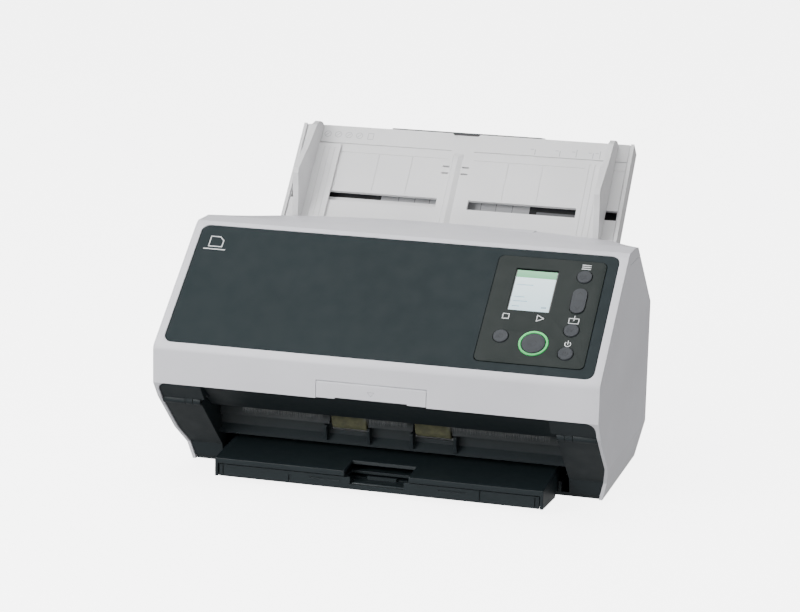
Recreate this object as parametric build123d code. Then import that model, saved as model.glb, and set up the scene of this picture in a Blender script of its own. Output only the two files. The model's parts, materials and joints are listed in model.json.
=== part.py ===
from build123d import *
import math
import os

# Sheet fed document scanner. Millimetres. +X right seen from the front, -Y front, +Z up.
# Every size below is in the body's own frame: x = 0 is the middle of the body, y = 0 the middle
# of its depth, z = 0 the table. save() moves the finished parts so that the file's origin is the
# bottom centre of the whole object, chute and stacker included.

# ---- body ----
BODY_WIDTH = 300.0
BODY_DEPTH = 170.0
BODY_HEIGHT = 163.0
WALL = 2.5
GAP = 0.4                # parting gap between neighbouring covers
RUN_FIT = 0.05           # radial clearance of a shaft in its bush
FOOT_HEIGHT = 1.5
FRONT_Y = -BODY_DEPTH / 2
REAR_Y = BODY_DEPTH / 2
HALF_W = BODY_WIDTH / 2

# ---- front band and sloping panel ----
BAND_BOTTOM = 69.0
BAND_HEIGHT = 24.8
SHELF_DEPTH = 89.2       # from the panel's top edge back to the rear face
PANEL_EDGE_Y = 3.8       # from the nose back to the dark panel's lower edge
PANEL_TOP_DROP = 2.1     # from the shelf down to the dark panel's upper edge
PANEL_MARGIN = 5.5       # white border at each side of the dark panel
PANEL_THICK = 1.5
PANEL_RADIUS = 6.0
NOSE_RADIUS = 5.0

# ---- shelf, its crown and the cut rear corners ----
SHELF_RUN = 65.0         # falling part of the shelf, forward from the rear face
SHELF_REAR_DROP = 6.4
CROWN_DROP = 3.4         # at CROWN_HALF from the middle, on the rear edge
CROWN_HALF = 115.0
CORNER_IN = 29.0         # cut corner: in from the side, on the rear edge of the shelf
CORNER_FRONT = 50.0      # cut corner: forward of the rear face, along the top side edge
CORNER_DROP = 50.0       # cut corner: below the top, on the rear side edge
SKIRT_IN = 7.0           # the lower side faces lean in by this
SKIRT_HEIGHT = 28.0

# ---- seam between the opening top section and the base ----
SEAM_BACK = 9.5          # behind the nose
SEAM_BOTTOM = 57.0
SEAM_DEPTH = 9.0         # below the panel
SEAM_DROP = 8.5          # below the shelf
SEAM_RUN = 54.0          # falling part of the seam, forward from the rear face
SEAM_REAR_DROP = 16.0

# ---- raked mouth ----
RAKE_FOOT_Y = 58.0       # from the nose back to the foot of the mouth
RAKE_KNEE_Y = 55.0
RAKE_KNEE_Z = 14.0
SIDE_RIM = WALL - 0.1    # thickness of the side covers, seen as a thin rim of the mouth
RIM_GAP = 0.3            # between the rims and the dark frame
JAMB_SIDE = 29.0         # from the body's side in to the open mouth
MOUTH_RADIUS = 6.0       # upper corners of the mouth, under the band
KNUCKLE_WIDTH = 5.0
KNUCKLE_GAP = 0.3
HINGE_Y = FRONT_Y + 14.0
HINGE_Z = 55.5
KNUCKLE_R = 3.2
PIN_R = 1.75

# ---- paper path: exit run, bend, and the plane of the chute ----
EXIT_Y = FRONT_Y + 53.2
EXIT_Z = 51.2
EXIT_RUN = 59.8          # straight run from the eject rollers to the start of the bend
CHUTE_SLOPE = 48.7
BEND_RADIUS = 80.0
CHUTE_CLEAR = 12.6       # from the shelf's rear top edge to the chute's plane, square to it
GUIDE_DEPTH = 0.8        # lower guide below the paper
UPPER_GAP = 4.0          # upper guide above the paper
SHEET = 2.0              # thickness of the two guides
GUIDE_HALF = HALF_W - 22.0

# ---- chute ----
CHUTE_HALF = 122.4
CHUTE_ABOVE = 82.0       # length of chute above the shelf's rear edge
CHUTE_BELOW = 68.0
CHUTE_SKIN = 2.5
CHUTE_DEPTH = 14.5
SLOT_TOP = 55.0
SLOT_WIDTH = 7.7
SLOT_INNER = 11.5
SLOT_OUTER = 119.0
STEP_S = 14.3            # step across the chute, below its top edge
STEP_DEPTH = 0.9
RIDGE_HEIGHT = 2.0       # rounded rib down the chute's middle
EXT_HALF = 108.0
EXT_THICK = 2.2
EXT_TRAVEL = 90.0
FIN_X = 107.0
FIN_THICK = 4.0
FOOT_INNER = 90.3
GUIDE_TRAVEL = 76.0
PINION_TEETH = 28
PINION_MODULE = 1.0
PINION_S = 75.0
BACKLASH = 0.30

# ---- stacker ----
TRAY_HALF = 112.5
TRAY_FRONT = FRONT_Y + 17.0
TRAY_LIP_Z = 16.4
TRAY_REAR_Z = 22.0
TRAY_SLOPE_LENGTH = 52.0
TRAY_LENGTH = 108.0
TRAY_THICK = 2.2
RECESS_HALF = 22.0
RECESS_DEPTH = 20.0
SLIDE_GAP = 0.6

# ---- rollers: radius, then position along the path ----
EJECT_R = 9.0
FEED_R = 8.0
FEED_T = 50.0
PICK_R = 12.0
BRAKE_R = 10.0
IDLER_R = 6.0
NIP = 0.4
SIDE_PLATE_DROP = 15.0    # side plates of the upper guide, below the cover's inside
BRUSH_LENGTH = 5.2
BRUSH_GAP = 0.1
SHAFT_R = 3.0
EJECT_X = 29.0
EJECT_LEN = 24.5
GLASS_T = 28.0
GLASS_LENGTH = 16.0
GLASS_HALF = 112.0
UNIT_LENGTH = 23.0
UNIT_DEPTH = 30.0
CHASSIS_X = HALF_W - 19.0
CHASSIS_THICK = 1.6
MOTOR_Y = REAR_Y - 35.0
MOTOR_Z = 44.0
MOTOR_R = 16.0
BELT_WIDTH = 4.0
BELT_THICK = 1.2
BELT_GAP = 0.3

# ---- controls on the panel: x, then distance up the slope ----
OP_X0 = 65.0
OP_X1 = 137.0
OP_S0 = 7.0
OP_S1 = 94.0
OP_RADIUS = 4.0
LCD = (78.2, 106.7, 49.6, 84.3)
BUTTON_R = 5.0
SCAN_R = 7.8
RING_R = 9.8
BUTTON_GAP = 0.4
BUTTON_PROUD = 1.1
BUTTONS = {
    "button_menu": (124.2, 80.9, BUTTON_R),
    "button_manual_feed": (123.7, 36.8, BUTTON_R),
    "button_power": (123.4, 18.1, BUTTON_R),
    "button_scan": (101.3, 24.0, SCAN_R),
    "button_stop": (79.0, 27.7, BUTTON_R),
}
ROCKER = (124.0, 60.8, 20.0, 9.6)
TAB_HALF = 37.0
TAB_HEIGHT = 11.3
LEVER_X0 = 36.0
LEVER_X1 = 68.0
LEVER_DEPTH = 11.0

# ---- rear sockets: x0, x1, z0, z1 ----
PORT_HOLES = {
    "lan_port": (-62, -45, 14, 28),
    "usb_port": (-30, -17, 14, 25),
    "dc_inlet": (-96, -83, 14, 26),
}
PORT_DEPTH = 9.4
DC_BORE = 8.4
LOCK_HOLE = (100, 107, 30, 33.2)

# ---- worked out from the sizes above ----
NOSE_TOP = BAND_BOTTOM + BAND_HEIGHT
PANEL_TOP_Z = BODY_HEIGHT - PANEL_TOP_DROP
TILT = math.atan2(PANEL_TOP_Z - NOSE_TOP, BODY_DEPTH - SHELF_DEPTH)
PANEL_Y0 = FRONT_Y + PANEL_EDGE_Y
PANEL_Z0 = NOSE_TOP + PANEL_EDGE_Y * math.tan(TILT)
PANEL_LEN = (PANEL_TOP_Z - PANEL_Z0) / math.sin(TILT)
PANEL_Y1 = PANEL_Y0 + PANEL_LEN * math.cos(TILT)
SHELF_FLAT_Y = REAR_Y - SHELF_RUN
SEAM_FLAT_Y = REAR_Y - SEAM_RUN
SHELF_REAR_Z = BODY_HEIGHT - SHELF_REAR_DROP
CHUTE_ANGLE = math.radians(CHUTE_SLOPE)
CHUTE_TOP_Y = (REAR_Y + CHUTE_CLEAR * math.sin(CHUTE_ANGLE)
               + CHUTE_ABOVE * math.cos(CHUTE_ANGLE))
CHUTE_TOP_Z = (SHELF_REAR_Z - CHUTE_CLEAR * math.cos(CHUTE_ANGLE)
               + CHUTE_ABOVE * math.sin(CHUTE_ANGLE))
CHUTE_LEN = CHUTE_ABOVE + CHUTE_BELOW
# from the eject nip, square to the chute's plane
EXIT_OFFSET = ((CHUTE_TOP_Y - EXIT_Y) * math.sin(CHUTE_ANGLE)
               - (CHUTE_TOP_Z - EXIT_Z) * math.cos(CHUTE_ANGLE))
HALF_TURN = math.atan((math.sqrt(EXIT_RUN ** 2 + EXIT_OFFSET * (2 * BEND_RADIUS - EXIT_OFFSET)) - EXIT_RUN)
                      / (2 * BEND_RADIUS - EXIT_OFFSET))
EXIT_ANGLE = CHUTE_ANGLE - 2 * HALF_TURN      # slope that lets the bend start right after the exit run
INNER_X = HALF_W - SIDE_RIM      # inner face of the side covers
MOUTH_HALF = HALF_W - JAMB_SIDE
LIP_Y = FRONT_Y + WALL + 1.1      # front edge of the dark underside, behind the band
LIP_EDGE = (FRONT_Y + 33, 48.6)   # lowest edge of the dark underside, in front of the brushes
TRAY_REAR = TRAY_FRONT + TRAY_LENGTH
RACK_R = PINION_MODULE * PINION_TEETH / 2
PLATE_Z = FOOT_HEIGHT
PLATE_TOP = PLATE_Z + WALL
CHUTE_REAR_Y = CHUTE_TOP_Y + (CHUTE_DEPTH - 2) * math.sin(CHUTE_ANGLE)
Y_SHIFT = -(FRONT_Y + CHUTE_REAR_Y) / 2
FOOT_X = HALF_W - 26
FOOT_SPOTS = [(-FOOT_X, REAR_Y - 16), (FOOT_X, REAR_Y - 16), (-FOOT_X, FRONT_Y + 76), (FOOT_X, FRONT_Y + 76)]
SCREW_X = CHASSIS_X + CHASSIS_THICK + 3
SCREW_SPOTS = [(x, y) for x in (-SCREW_X, SCREW_X) for y in (FRONT_Y + 80, 20.0, REAR_Y - 20)]
PULLEY_X = CHASSIS_X + CHASSIS_THICK + 1.8
EXT1_HALF = TRAY_HALF - TRAY_THICK - SLIDE_GAP
EXT2_HALF = EXT1_HALF - TRAY_THICK - SLIDE_GAP
LIP_HEIGHT = 3.8
EXT1_TOP = TRAY_LIP_Z - LIP_HEIGHT - SLIDE_GAP
EXT2_TOP = EXT1_TOP - 3.8
EXT2_FRONT = TRAY_FRONT + 1.2    # the last slide's front covers the one behind it
EXT1_FRONT = EXT2_FRONT + 2.4
STOP_HALF = 18.0
STOP_Y = TRAY_FRONT + 4.2
STOP_Z = EXT2_TOP - 1.2
STOP_LENGTH = 11.5
TAB_AXIS = (FRONT_Y + 1.25, BAND_BOTTOM + 0.5 + TAB_HEIGHT - 1.25)

PANEL = Plane((0, PANEL_Y0, PANEL_Z0), x_dir=(1, 0, 0), z_dir=(0, -math.sin(TILT), math.cos(TILT)))
CHUTE = Plane((0, CHUTE_TOP_Y, CHUTE_TOP_Z), x_dir=(1, 0, 0),
              z_dir=(0, -math.sin(CHUTE_ANGLE), math.cos(CHUTE_ANGLE)))
EXIT = Plane((0, EXIT_Y, EXIT_Z), x_dir=(1, 0, 0), z_dir=(0, -math.sin(EXIT_ANGLE), math.cos(EXIT_ANGLE)))


# ---- small helpers ----

def block(x0, x1, y0, y1, z0, z1):
    """Box between two corners."""
    return Pos((x0 + x1) / 2, (y0 + y1) / 2, (z0 + z1) / 2) * Box(x1 - x0, y1 - y0, z1 - z0)


def prism(points, x0, x1):
    """Outline in the YZ plane, extruded from x0 to x1."""
    face = Plane.YZ * Polygon(*points, align=None)
    return Pos(x0, 0, 0) * extrude(face, amount=x1 - x0, dir=(1, 0, 0))


def rod(y, z, radius, x0, x1):
    """Cylinder along X."""
    return Pos((x0 + x1) / 2, y, z) * Rot(0, 90, 0) * Cylinder(radius, x1 - x0)


def both(solid):
    """The solid and its mirror image in x = 0."""
    return solid + mirror(solid, about=Plane.YZ)


def on_exit(t, n):
    """(y, z) of a point t up the exit run and n above the paper."""
    return (EXIT_Y + t * math.cos(EXIT_ANGLE) - n * math.sin(EXIT_ANGLE),
            EXIT_Z + t * math.sin(EXIT_ANGLE) + n * math.cos(EXIT_ANGLE))


def on_chute(s, n):
    """(y, z) of a point s down from the chute's top edge and n above the paper."""
    return (CHUTE_TOP_Y - s * math.cos(CHUTE_ANGLE) - n * math.sin(CHUTE_ANGLE),
            CHUTE_TOP_Z - s * math.sin(CHUTE_ANGLE) + n * math.cos(CHUTE_ANGLE))


def chute_block(x0, x1, s0, s1, n0, n1):
    """Box in the chute's own directions."""
    return CHUTE * block(x0, x1, -s1, -s0, n0, n1)


def exit_block(x0, x1, t0, t1, n0, n1):
    """Box in the exit run's own directions."""
    return EXIT * block(x0, x1, t0, t1, n0, n1)


def panel_block(x0, x1, s0, s1, n0, n1):
    """Box in the panel's own directions."""
    return PANEL * block(x0, x1, s0, s1, n0, n1)


def path_curve(n, t0, s1, steps=6):
    """Points n above the paper from t0 on the exit run, round the bend, to s1 on the chute."""
    turn = CHUTE_ANGLE - EXIT_ANGLE
    cy, cz = on_exit(EXIT_RUN, BEND_RADIUS)
    points = [on_exit(t0, n)]
    for i in range(steps + 1):
        angle = EXIT_ANGLE + turn * i / steps
        radius = BEND_RADIUS - n
        points.append((cy + radius * math.sin(angle), cz - radius * math.cos(angle)))
    points.append(on_chute(s1, n))
    return points


def rounded(x0, x1, s0, s1, radius, n0, n1, plane):
    """Plate with rounded corners on a plane."""
    face = Pos((x0 + x1) / 2, (s0 + s1) / 2, n0) * RectangleRounded(x1 - x0, s1 - s0, radius)
    return plane * extrude(face, amount=n1 - n0, dir=(0, 0, 1))


def disc(x, s, radius, n0, n1, plane):
    """Disc standing on a plane."""
    return plane * Pos(x, s, (n0 + n1) / 2) * Cylinder(radius, n1 - n0)


# ---- axes of the rollers ----

PICK_S = CHUTE_LEN
PICK_AXIS = on_chute(PICK_S, 0.5 - PICK_R)
BRAKE_AXIS = on_chute(PICK_S, BRAKE_R + 0.5 + NIP)
FEED_AXIS = on_exit(FEED_T, -FEED_R)
FEED_IDLER_AXIS = on_exit(FEED_T, IDLER_R + NIP)
EJECT_AXIS = on_exit(0, -EJECT_R)
EJECT_IDLER_AXIS = on_exit(0, IDLER_R + NIP)
PICK_SPANS = [(-32, -7), (7, 32)]
FEED_SPANS = [(-84, -66), (-38, -20), (20, 38), (66, 84)]
EJECT_SPANS = [(-EJECT_X - EJECT_LEN / 2, -EJECT_X + EJECT_LEN / 2),
               (EJECT_X - EJECT_LEN / 2, EJECT_X + EJECT_LEN / 2)]


def rollers(axis, radius, spans, bore):
    """Separate sleeves on one shaft."""
    result = None
    for x0, x1 in spans:
        sleeve = rod(axis[0], axis[1], radius, x0, x1) - rod(axis[0], axis[1], bore, x0 - 1, x1 + 1)
        result = sleeve if result is None else result + sleeve
    return result


def roller_room(axis, radius, spans, room=1.2):
    """Space that a guide leaves for its rollers."""
    result = None
    for x0, x1 in spans:
        piece = rod(axis[0], axis[1], radius + room, x0 - room, x1 + room)
        result = piece if result is None else result + piece
    return result


# ---- outer skin, shared by the covers ----

def side_profile(inset):
    """Side outline of the whole body, drawn in by the inset."""
    points = [
        (FRONT_Y + RAKE_FOOT_Y, PLATE_Z),
        (FRONT_Y + RAKE_KNEE_Y, RAKE_KNEE_Z),
        (FRONT_Y + SEAM_BACK - 0.5, SEAM_BOTTOM),
        (FRONT_Y, BAND_BOTTOM),
        (FRONT_Y, NOSE_TOP),
        (PANEL_Y1, PANEL_TOP_Z),
        (PANEL_Y1 + 4.2, BODY_HEIGHT),
        (REAR_Y, BODY_HEIGHT),
        (REAR_Y, PLATE_Z),
    ]
    face = Polygon(*points, align=None)
    if inset:
        face = offset(face, amount=-inset, kind=Kind.INTERSECTION)
    return face


def crown_tool(inset):
    """Everything above the shelf, which falls to the rear and to its sides."""
    wide = HALF_W + 20
    rise = 60
    far = REAR_Y + 20
    slope = SHELF_REAR_DROP / (REAR_Y - SHELF_FLAT_Y)
    drop = SHELF_REAR_DROP + 20 * slope
    side = CROWN_DROP * (wide / CROWN_HALF) ** 2 * (far - SHELF_FLAT_Y) / (REAR_Y - SHELF_FLAT_Y)
    top = BODY_HEIGHT - inset
    front = Polyline((-wide, top), (-wide, top + rise), (wide, top + rise), (wide, top))
    front_face = make_face([*front.edges(), Line((wide, top), (-wide, top))])
    low = top - drop
    rear = Polyline((-wide, low - side), (-wide, top + rise), (wide, top + rise), (wide, low - side))
    arc = ThreePointArc((wide, low - side), (0, low), (-wide, low - side))
    rear_face = make_face([*rear.edges(), arc.edge()])
    at_front = Plane((0, SHELF_FLAT_Y, 0), x_dir=(1, 0, 0), z_dir=(0, -1, 0))
    at_rear = Plane((0, far, 0), x_dir=(1, 0, 0), z_dir=(0, -1, 0))
    return loft([at_front * front_face, at_rear * rear_face])


def corner_tool(inset):
    """Everything beyond the cut rear corner on the right."""
    a = Vector(HALF_W - 2.5, REAR_Y - CORNER_FRONT, BODY_HEIGHT - 3)
    p = Vector(HALF_W - CORNER_IN, REAR_Y + 3, BODY_HEIGHT - 12)
    b = Vector(HALF_W, REAR_Y, BODY_HEIGHT - CORNER_DROP)
    normal = (p - a).cross(b - a).normalized()
    if normal.X < 0:
        normal = normal * -1
    plane = Plane(a - normal * inset, x_dir=(p - a), z_dir=normal)
    return plane * Pos(0, 0, 100) * Box(500, 500, 200)


def skirt_tool(inset):
    """Wedge cut from the lower right side."""
    foot = HALF_W - SKIRT_IN - inset
    face = Plane.XZ * Polygon((HALF_W - inset, SKIRT_HEIGHT), (HALF_W + 30, SKIRT_HEIGHT),
                              (HALF_W + 30, -10), (foot, -10), (foot, 0), align=None)
    return Pos(0, REAR_Y + 10, 0) * extrude(face, amount=BODY_DEPTH + 60, dir=(0, -1, 0))


def body_block(inset):
    """Outer shape of the whole body drawn in by the inset."""
    half = HALF_W - inset
    face = Plane.YZ * side_profile(inset)
    solid = Pos(-half, 0, 0) * extrude(face, amount=2 * half, dir=(1, 0, 0))
    solid -= crown_tool(inset)
    solid -= both_cut(corner_tool(inset))
    solid -= both_cut(skirt_tool(inset))
    return solid


def both_cut(tool):
    """A cutting tool and its mirror image, kept as two solids."""
    return [tool, mirror(tool, about=Plane.YZ)]


def seam_points(shift):
    """Seam seen from the side; shift moves it into the top section."""
    ny = -math.sin(TILT)
    nz = math.cos(TILT)
    depth = SEAM_DEPTH - shift
    low = (PANEL_Y0 - ny * depth, PANEL_Z0 - nz * depth)
    high = (PANEL_Y1 - ny * depth, PANEL_TOP_Z - nz * depth)
    seam_y = FRONT_Y + SEAM_BACK - shift
    low_z = low[1] - (low[0] - seam_y) * math.tan(TILT)
    flat_z = BODY_HEIGHT - SEAM_DROP + shift
    high_y = high[0] + (flat_z - high[1]) / math.tan(TILT)
    return [
        (seam_y, SEAM_BOTTOM),
        (seam_y, low_z),
        (high_y, flat_z),
        (SEAM_FLAT_Y, flat_z),
        (REAR_Y + 10, BODY_HEIGHT - SEAM_REAR_DROP + shift),
    ]


def above_seam():
    """Region of the top section's skin."""
    points = seam_points(GAP / 2) + [(REAR_Y + 10, BODY_HEIGHT + 40), (FRONT_Y - 20, BODY_HEIGHT + 40),
                                     (FRONT_Y - 20, SEAM_BOTTOM)]
    return prism(points, -HALF_W - 10, HALF_W + 10)


def below_seam():
    """Region of the base's skin."""
    points = seam_points(-GAP / 2) + [(REAR_Y + 10, -10), (FRONT_Y - 20, -10), (FRONT_Y - 20, SEAM_BOTTOM)]
    return prism(points, -HALF_W - 10, HALF_W + 10)


def side_slab(inset):
    """Everything between the side walls, drawn in by the inset; it leans in with the skirt."""
    half = HALF_W - inset
    slab = block(-half, half, FRONT_Y - 20, REAR_Y + 20, -5, BODY_HEIGHT + 20)
    return slab - both_cut(skirt_tool(inset))


def mouth_opening(inset):
    """Opening under the band, rounded at its upper corners."""
    tall = 100
    width = 2 * (INNER_X - inset)
    y1 = HINGE_Y + 10
    face = Plane.XZ * RectangleRounded(width, tall, MOUTH_RADIUS - inset)
    return Pos(0, y1, BAND_BOTTOM - inset - tall / 2) * extrude(face, amount=y1 - FRONT_Y + 5, dir=(0, -1, 0))


def nose_edges(solid):
    """The long edge where the band meets the sloping panel."""
    return [e for e in solid.edges() if abs(e.center().Y - FRONT_Y) < 0.1
            and e.bounding_box().size.X > BODY_WIDTH * 0.8 and e.center().Z > NOSE_TOP - 1]


SKIN = body_block(0)
SKIN = SKIN.fillet(min(NOSE_RADIUS, BAND_HEIGHT / 3), nose_edges(SKIN))
CORE = body_block(WALL)
SHELL = SKIN - CORE


# ---- base: covers ----

def side_cover_right():
    cover = SHELL & below_seam()
    cover &= block(0, HALF_W + 5, FRONT_Y - 5, REAR_Y + 5, 0, BODY_HEIGHT + 5)
    cover -= side_slab(SIDE_RIM)
    return main_solid(cover)


def side_cover_left():
    return mirror(side_cover_right(), about=Plane.YZ)


def main_solid(shape):
    """The largest solid of a cut, without its crumbs."""
    return max(shape.solids(), key=lambda s: s.volume)


def rear_cover():
    bay = CHUTE_HALF + 1.2
    cover = SHELL & below_seam() & side_slab(SIDE_RIM + GAP)
    cover &= block(-HALF_W, HALF_W, SEAM_FLAT_Y, REAR_Y + 5, PLATE_TOP + GAP / 2, BODY_HEIGHT)
    cover -= block(-HALF_W, HALF_W, 0, REAR_Y - WALL - 12, 0, BODY_HEIGHT - CORNER_DROP)
    cover -= block(-bay, bay, 0, REAR_Y + 5, deck_height(), BODY_HEIGHT + 5)
    for x0, x1, z0, z1 in PORT_HOLES.values():
        cover -= block(x0 - 0.3, x1 + 0.3, REAR_Y - 10, REAR_Y + 5, z0 - 0.3, z1 + 0.3)
    for i in range(14):
        x = -98 + 6 * i
        cover -= block(x, x + 3, REAR_Y - 5, REAR_Y + 5, 62, 86)
    lock = LOCK_HOLE
    cover -= block(lock[0], lock[1], REAR_Y - 5, REAR_Y + 5, lock[2], lock[3])
    return main_solid(cover)


def deck_height():
    """Top of the rear wall, just under the chute."""
    reach = CHUTE_TOP_Y + CHUTE_DEPTH * math.sin(CHUTE_ANGLE) - (REAR_Y - WALL)
    return CHUTE_TOP_Z - CHUTE_DEPTH * math.cos(CHUTE_ANGLE) - reach * math.tan(CHUTE_ANGLE) - 1.5


def bottom_plate():
    """Bottom of the body with the two rails beside the stacker."""
    front = FRONT_Y + RAKE_FOOT_Y + WALL
    plate = block(-INNER_X, INNER_X, front, REAR_Y - GAP / 2, PLATE_Z, PLATE_TOP)
    plate &= side_slab(SIDE_RIM + GAP)
    rail_x = TRAY_HALF + SLIDE_GAP
    rail = block(rail_x, rail_x + 2, front, TRAY_REAR, PLATE_TOP, PLATE_TOP + 7)
    plate = plate + both(rail)
    for x, y in SCREW_SPOTS:
        plate -= Pos(x, y, PLATE_Z) * Cylinder(1.5, 20)
    return plate


def rubber_feet():
    pads = [Pos(x, y, FOOT_HEIGHT / 2) * Cylinder(8, FOOT_HEIGHT) for x, y in FOOT_SPOTS]
    return pads[0] + pads[1] + pads[2] + pads[3]


def frame_screws():
    screws = None
    for x, y in SCREW_SPOTS:
        base = PLATE_TOP + CHASSIS_THICK
        head = Pos(x, y, base + 1) * Cylinder(3, 2) - Pos(x, y, base + 1.6) * Box(4, 0.8, 1)
        shank = Pos(x, y, (PLATE_Z + base) / 2) * Cylinder(1.5, base - PLATE_Z)
        piece = head + shank
        screws = piece if screws is None else screws + piece
    return screws


# ---- base: mouth ----

def rake_points(inset):
    """Front edge of a jamb, foot to top, behind the white rim."""
    return [
        (FRONT_Y + RAKE_FOOT_Y + inset, PLATE_TOP + 0.2),
        (FRONT_Y + RAKE_KNEE_Y + inset, RAKE_KNEE_Z + inset),
        (HINGE_Y, knee_line(HINGE_Y) + inset * 1.4),
    ]


def knee_line(y):
    """Height of the rake's line above the knee."""
    y0 = FRONT_Y + RAKE_KNEE_Y
    y1 = FRONT_Y + SEAM_BACK - 0.5
    return RAKE_KNEE_Z + (y0 - y) / (y0 - y1) * (SEAM_BOTTOM - RAKE_KNEE_Z)


def jamb_right():
    """Hollow side of the mouth with the lower knuckles of the cover hinge."""
    x0 = MOUTH_HALF
    x1 = INNER_X - RIM_GAP
    k0 = x0 + KNUCKLE_WIDTH
    k1 = x0 + 2 * (KNUCKLE_WIDTH + KNUCKLE_GAP)
    top = SEAM_BOTTOM - 0.6
    back = EXIT_Y + 12
    solid = prism(rake_points(0.6) + [(HINGE_Y, HINGE_Z), (HINGE_Y + 6, top), (back, top),
                                      (back, PLATE_TOP + 0.2)], x0, x1)
    pocket = prism(rake_points(3.1) + [(HINGE_Y + 5, HINGE_Z), (HINGE_Y + 8, top - 2.5),
                                       (back + 5, top - 2.5), (back + 5, PLATE_TOP - 1)], x0 + 2.5, x1 + 5)
    solid -= pocket
    for a, b in ((x0, k0), (k1, x1)):
        solid += rod(HINGE_Y, HINGE_Z, KNUCKLE_R, a, b)
        solid += block(a, b, HINGE_Y - 1, HINGE_Y + 9, HINGE_Z - 3, HINGE_Z)
    solid -= rod(HINGE_Y, HINGE_Z, KNUCKLE_R + 1.0, k0, k1)
    solid -= rod(HINGE_Y, HINGE_Z, PIN_R, x0 - 1, x1 + 1)
    solid -= rod(EJECT_AXIS[0], EJECT_AXIS[1], SHAFT_R + 1, x0 - 1, x1 + 1)
    solid -= block(x0 + 2.5, x1 + 5, EXIT_Y - 6, back + 5, HINGE_Z - 15, HINGE_Z + 10)
    return main_solid(solid)


def mouth_frame():
    """Dark frame of the output mouth: two jambs, the cross wall, its ledge and guide ribs."""
    half = MOUTH_HALF + 1
    face = FRONT_Y + 54
    wall = prism([(face, 24.9), (face - 5, 24.9), (face, 30.5), (face, 37.4), (face + 2.2, 37.4),
                  (face + 2.2, 24.9)], -half, half)
    wall -= roller_room(EJECT_AXIS, EJECT_R, EJECT_SPANS)
    ribs = None
    for x in (15.0, 45.0):
        rib = prism([(face, 37.2), (face - 6.5, 37.4), (face - 7.5, 36.0), (face - 5, 26.5), (face, 29.0)],
                    x - 1, x + 1)
        ribs = rib if ribs is None else ribs + rib
    jamb = jamb_right()
    frame = wall + both(ribs) + jamb + mirror(jamb, about=Plane.YZ)
    return main_solid(frame & side_slab(SIDE_RIM + RIM_GAP + 0.05))


def cover_hinge_pins():
    x0 = MOUTH_HALF + 0.5
    x1 = INNER_X - 2
    pin = rod(HINGE_Y, HINGE_Z, PIN_R, x0, x1)
    return both(pin)


# ---- base: paper guide, chassis, scan unit, boards ----

def lower_guide():
    front = [(FRONT_Y + 49, 38.0), (FRONT_Y + 51.6, 46.8)]
    top = path_curve(-GUIDE_DEPTH, 9, CHUTE_LEN + 1)
    under = path_curve(-GUIDE_DEPTH - SHEET, 8.5, CHUTE_LEN + 1)
    back = [(FRONT_Y + 53.4, 46.4), (FRONT_Y + 51, 38.0)]
    solid = prism(front + top + under[::-1] + back, -GUIDE_HALF, GUIDE_HALF)
    solid -= roller_room(PICK_AXIS, PICK_R, PICK_SPANS)
    solid -= roller_room(FEED_AXIS, FEED_R, FEED_SPANS)
    solid -= roller_room(EJECT_AXIS, EJECT_R, EJECT_SPANS)
    t0 = GLASS_T - GLASS_LENGTH / 2
    t1 = GLASS_T + GLASS_LENGTH / 2
    solid -= exit_block(-GLASS_HALF - 0.2, GLASS_HALF + 0.2, t0 - 0.2, t1 + 0.2, -6, 2)
    solid -= both_cut(block(MOUTH_HALF - GAP, HALF_W, FRONT_Y, EXIT_Y + 13, 0, BODY_HEIGHT))
    return main_solid(solid)


def chassis():
    """Bent sheet-metal frame that carries the shafts."""
    x0 = CHASSIS_X
    x1 = CHASSIS_X + CHASSIS_THICK
    front = FRONT_Y + 48
    high = on_chute(CHUTE_LEN - 5, -CHUTE_DEPTH - 2)
    side = prism([(front, 33), (front, 50), (front + 18, 52.5), (front + 22, 64),
                  (PICK_AXIS[0] - 12, PICK_AXIS[1] + 8), (high[0] + 8, PICK_AXIS[1] + 8), (REAR_Y - 14, 60),
                  (REAR_Y - 14, PLATE_TOP), (front + 22, PLATE_TOP), (front + 16, 24)], x0, x1)
    flange = block(x1, x1 + 6, front + 22, REAR_Y - 14, PLATE_TOP, PLATE_TOP + CHASSIS_THICK)
    deck = block(-x0, x0, FRONT_Y + 82, REAR_Y - 14, 25.2, 25.2 + CHASSIS_THICK)
    deck -= block(-40, 40, FRONT_Y + 95, REAR_Y - 30, 20, 30)
    frame = both(side + flange) + deck
    for axis in (PICK_AXIS, FEED_AXIS, EJECT_AXIS):
        frame -= rod(axis[0], axis[1], 5, -x1 - 1, x1 + 1)
    frame -= rod(MOTOR_Y, MOTOR_Z, 4, x0 - 1, x1 + 1)
    for x, y in SCREW_SPOTS:
        frame -= Pos(x, y, PLATE_TOP) * Cylinder(1.5, 8)
    return main_solid(frame)


def shaft_bushes():
    """Flanged bushes pressed into the chassis."""
    bushes = None
    x0 = CHASSIS_X - 1.2
    x1 = CHASSIS_X + CHASSIS_THICK + 0.6
    for y, z in (PICK_AXIS, FEED_AXIS, EJECT_AXIS):
        bush = rod(y, z, 5, CHASSIS_X, x1) + rod(y, z, 6.2, x0, CHASSIS_X)
        bush -= rod(y, z, SHAFT_R + RUN_FIT, x0 - 1, x1 + 1)
        pair = both(bush)
        bushes = pair if bushes is None else bushes + pair
    return bushes


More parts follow.
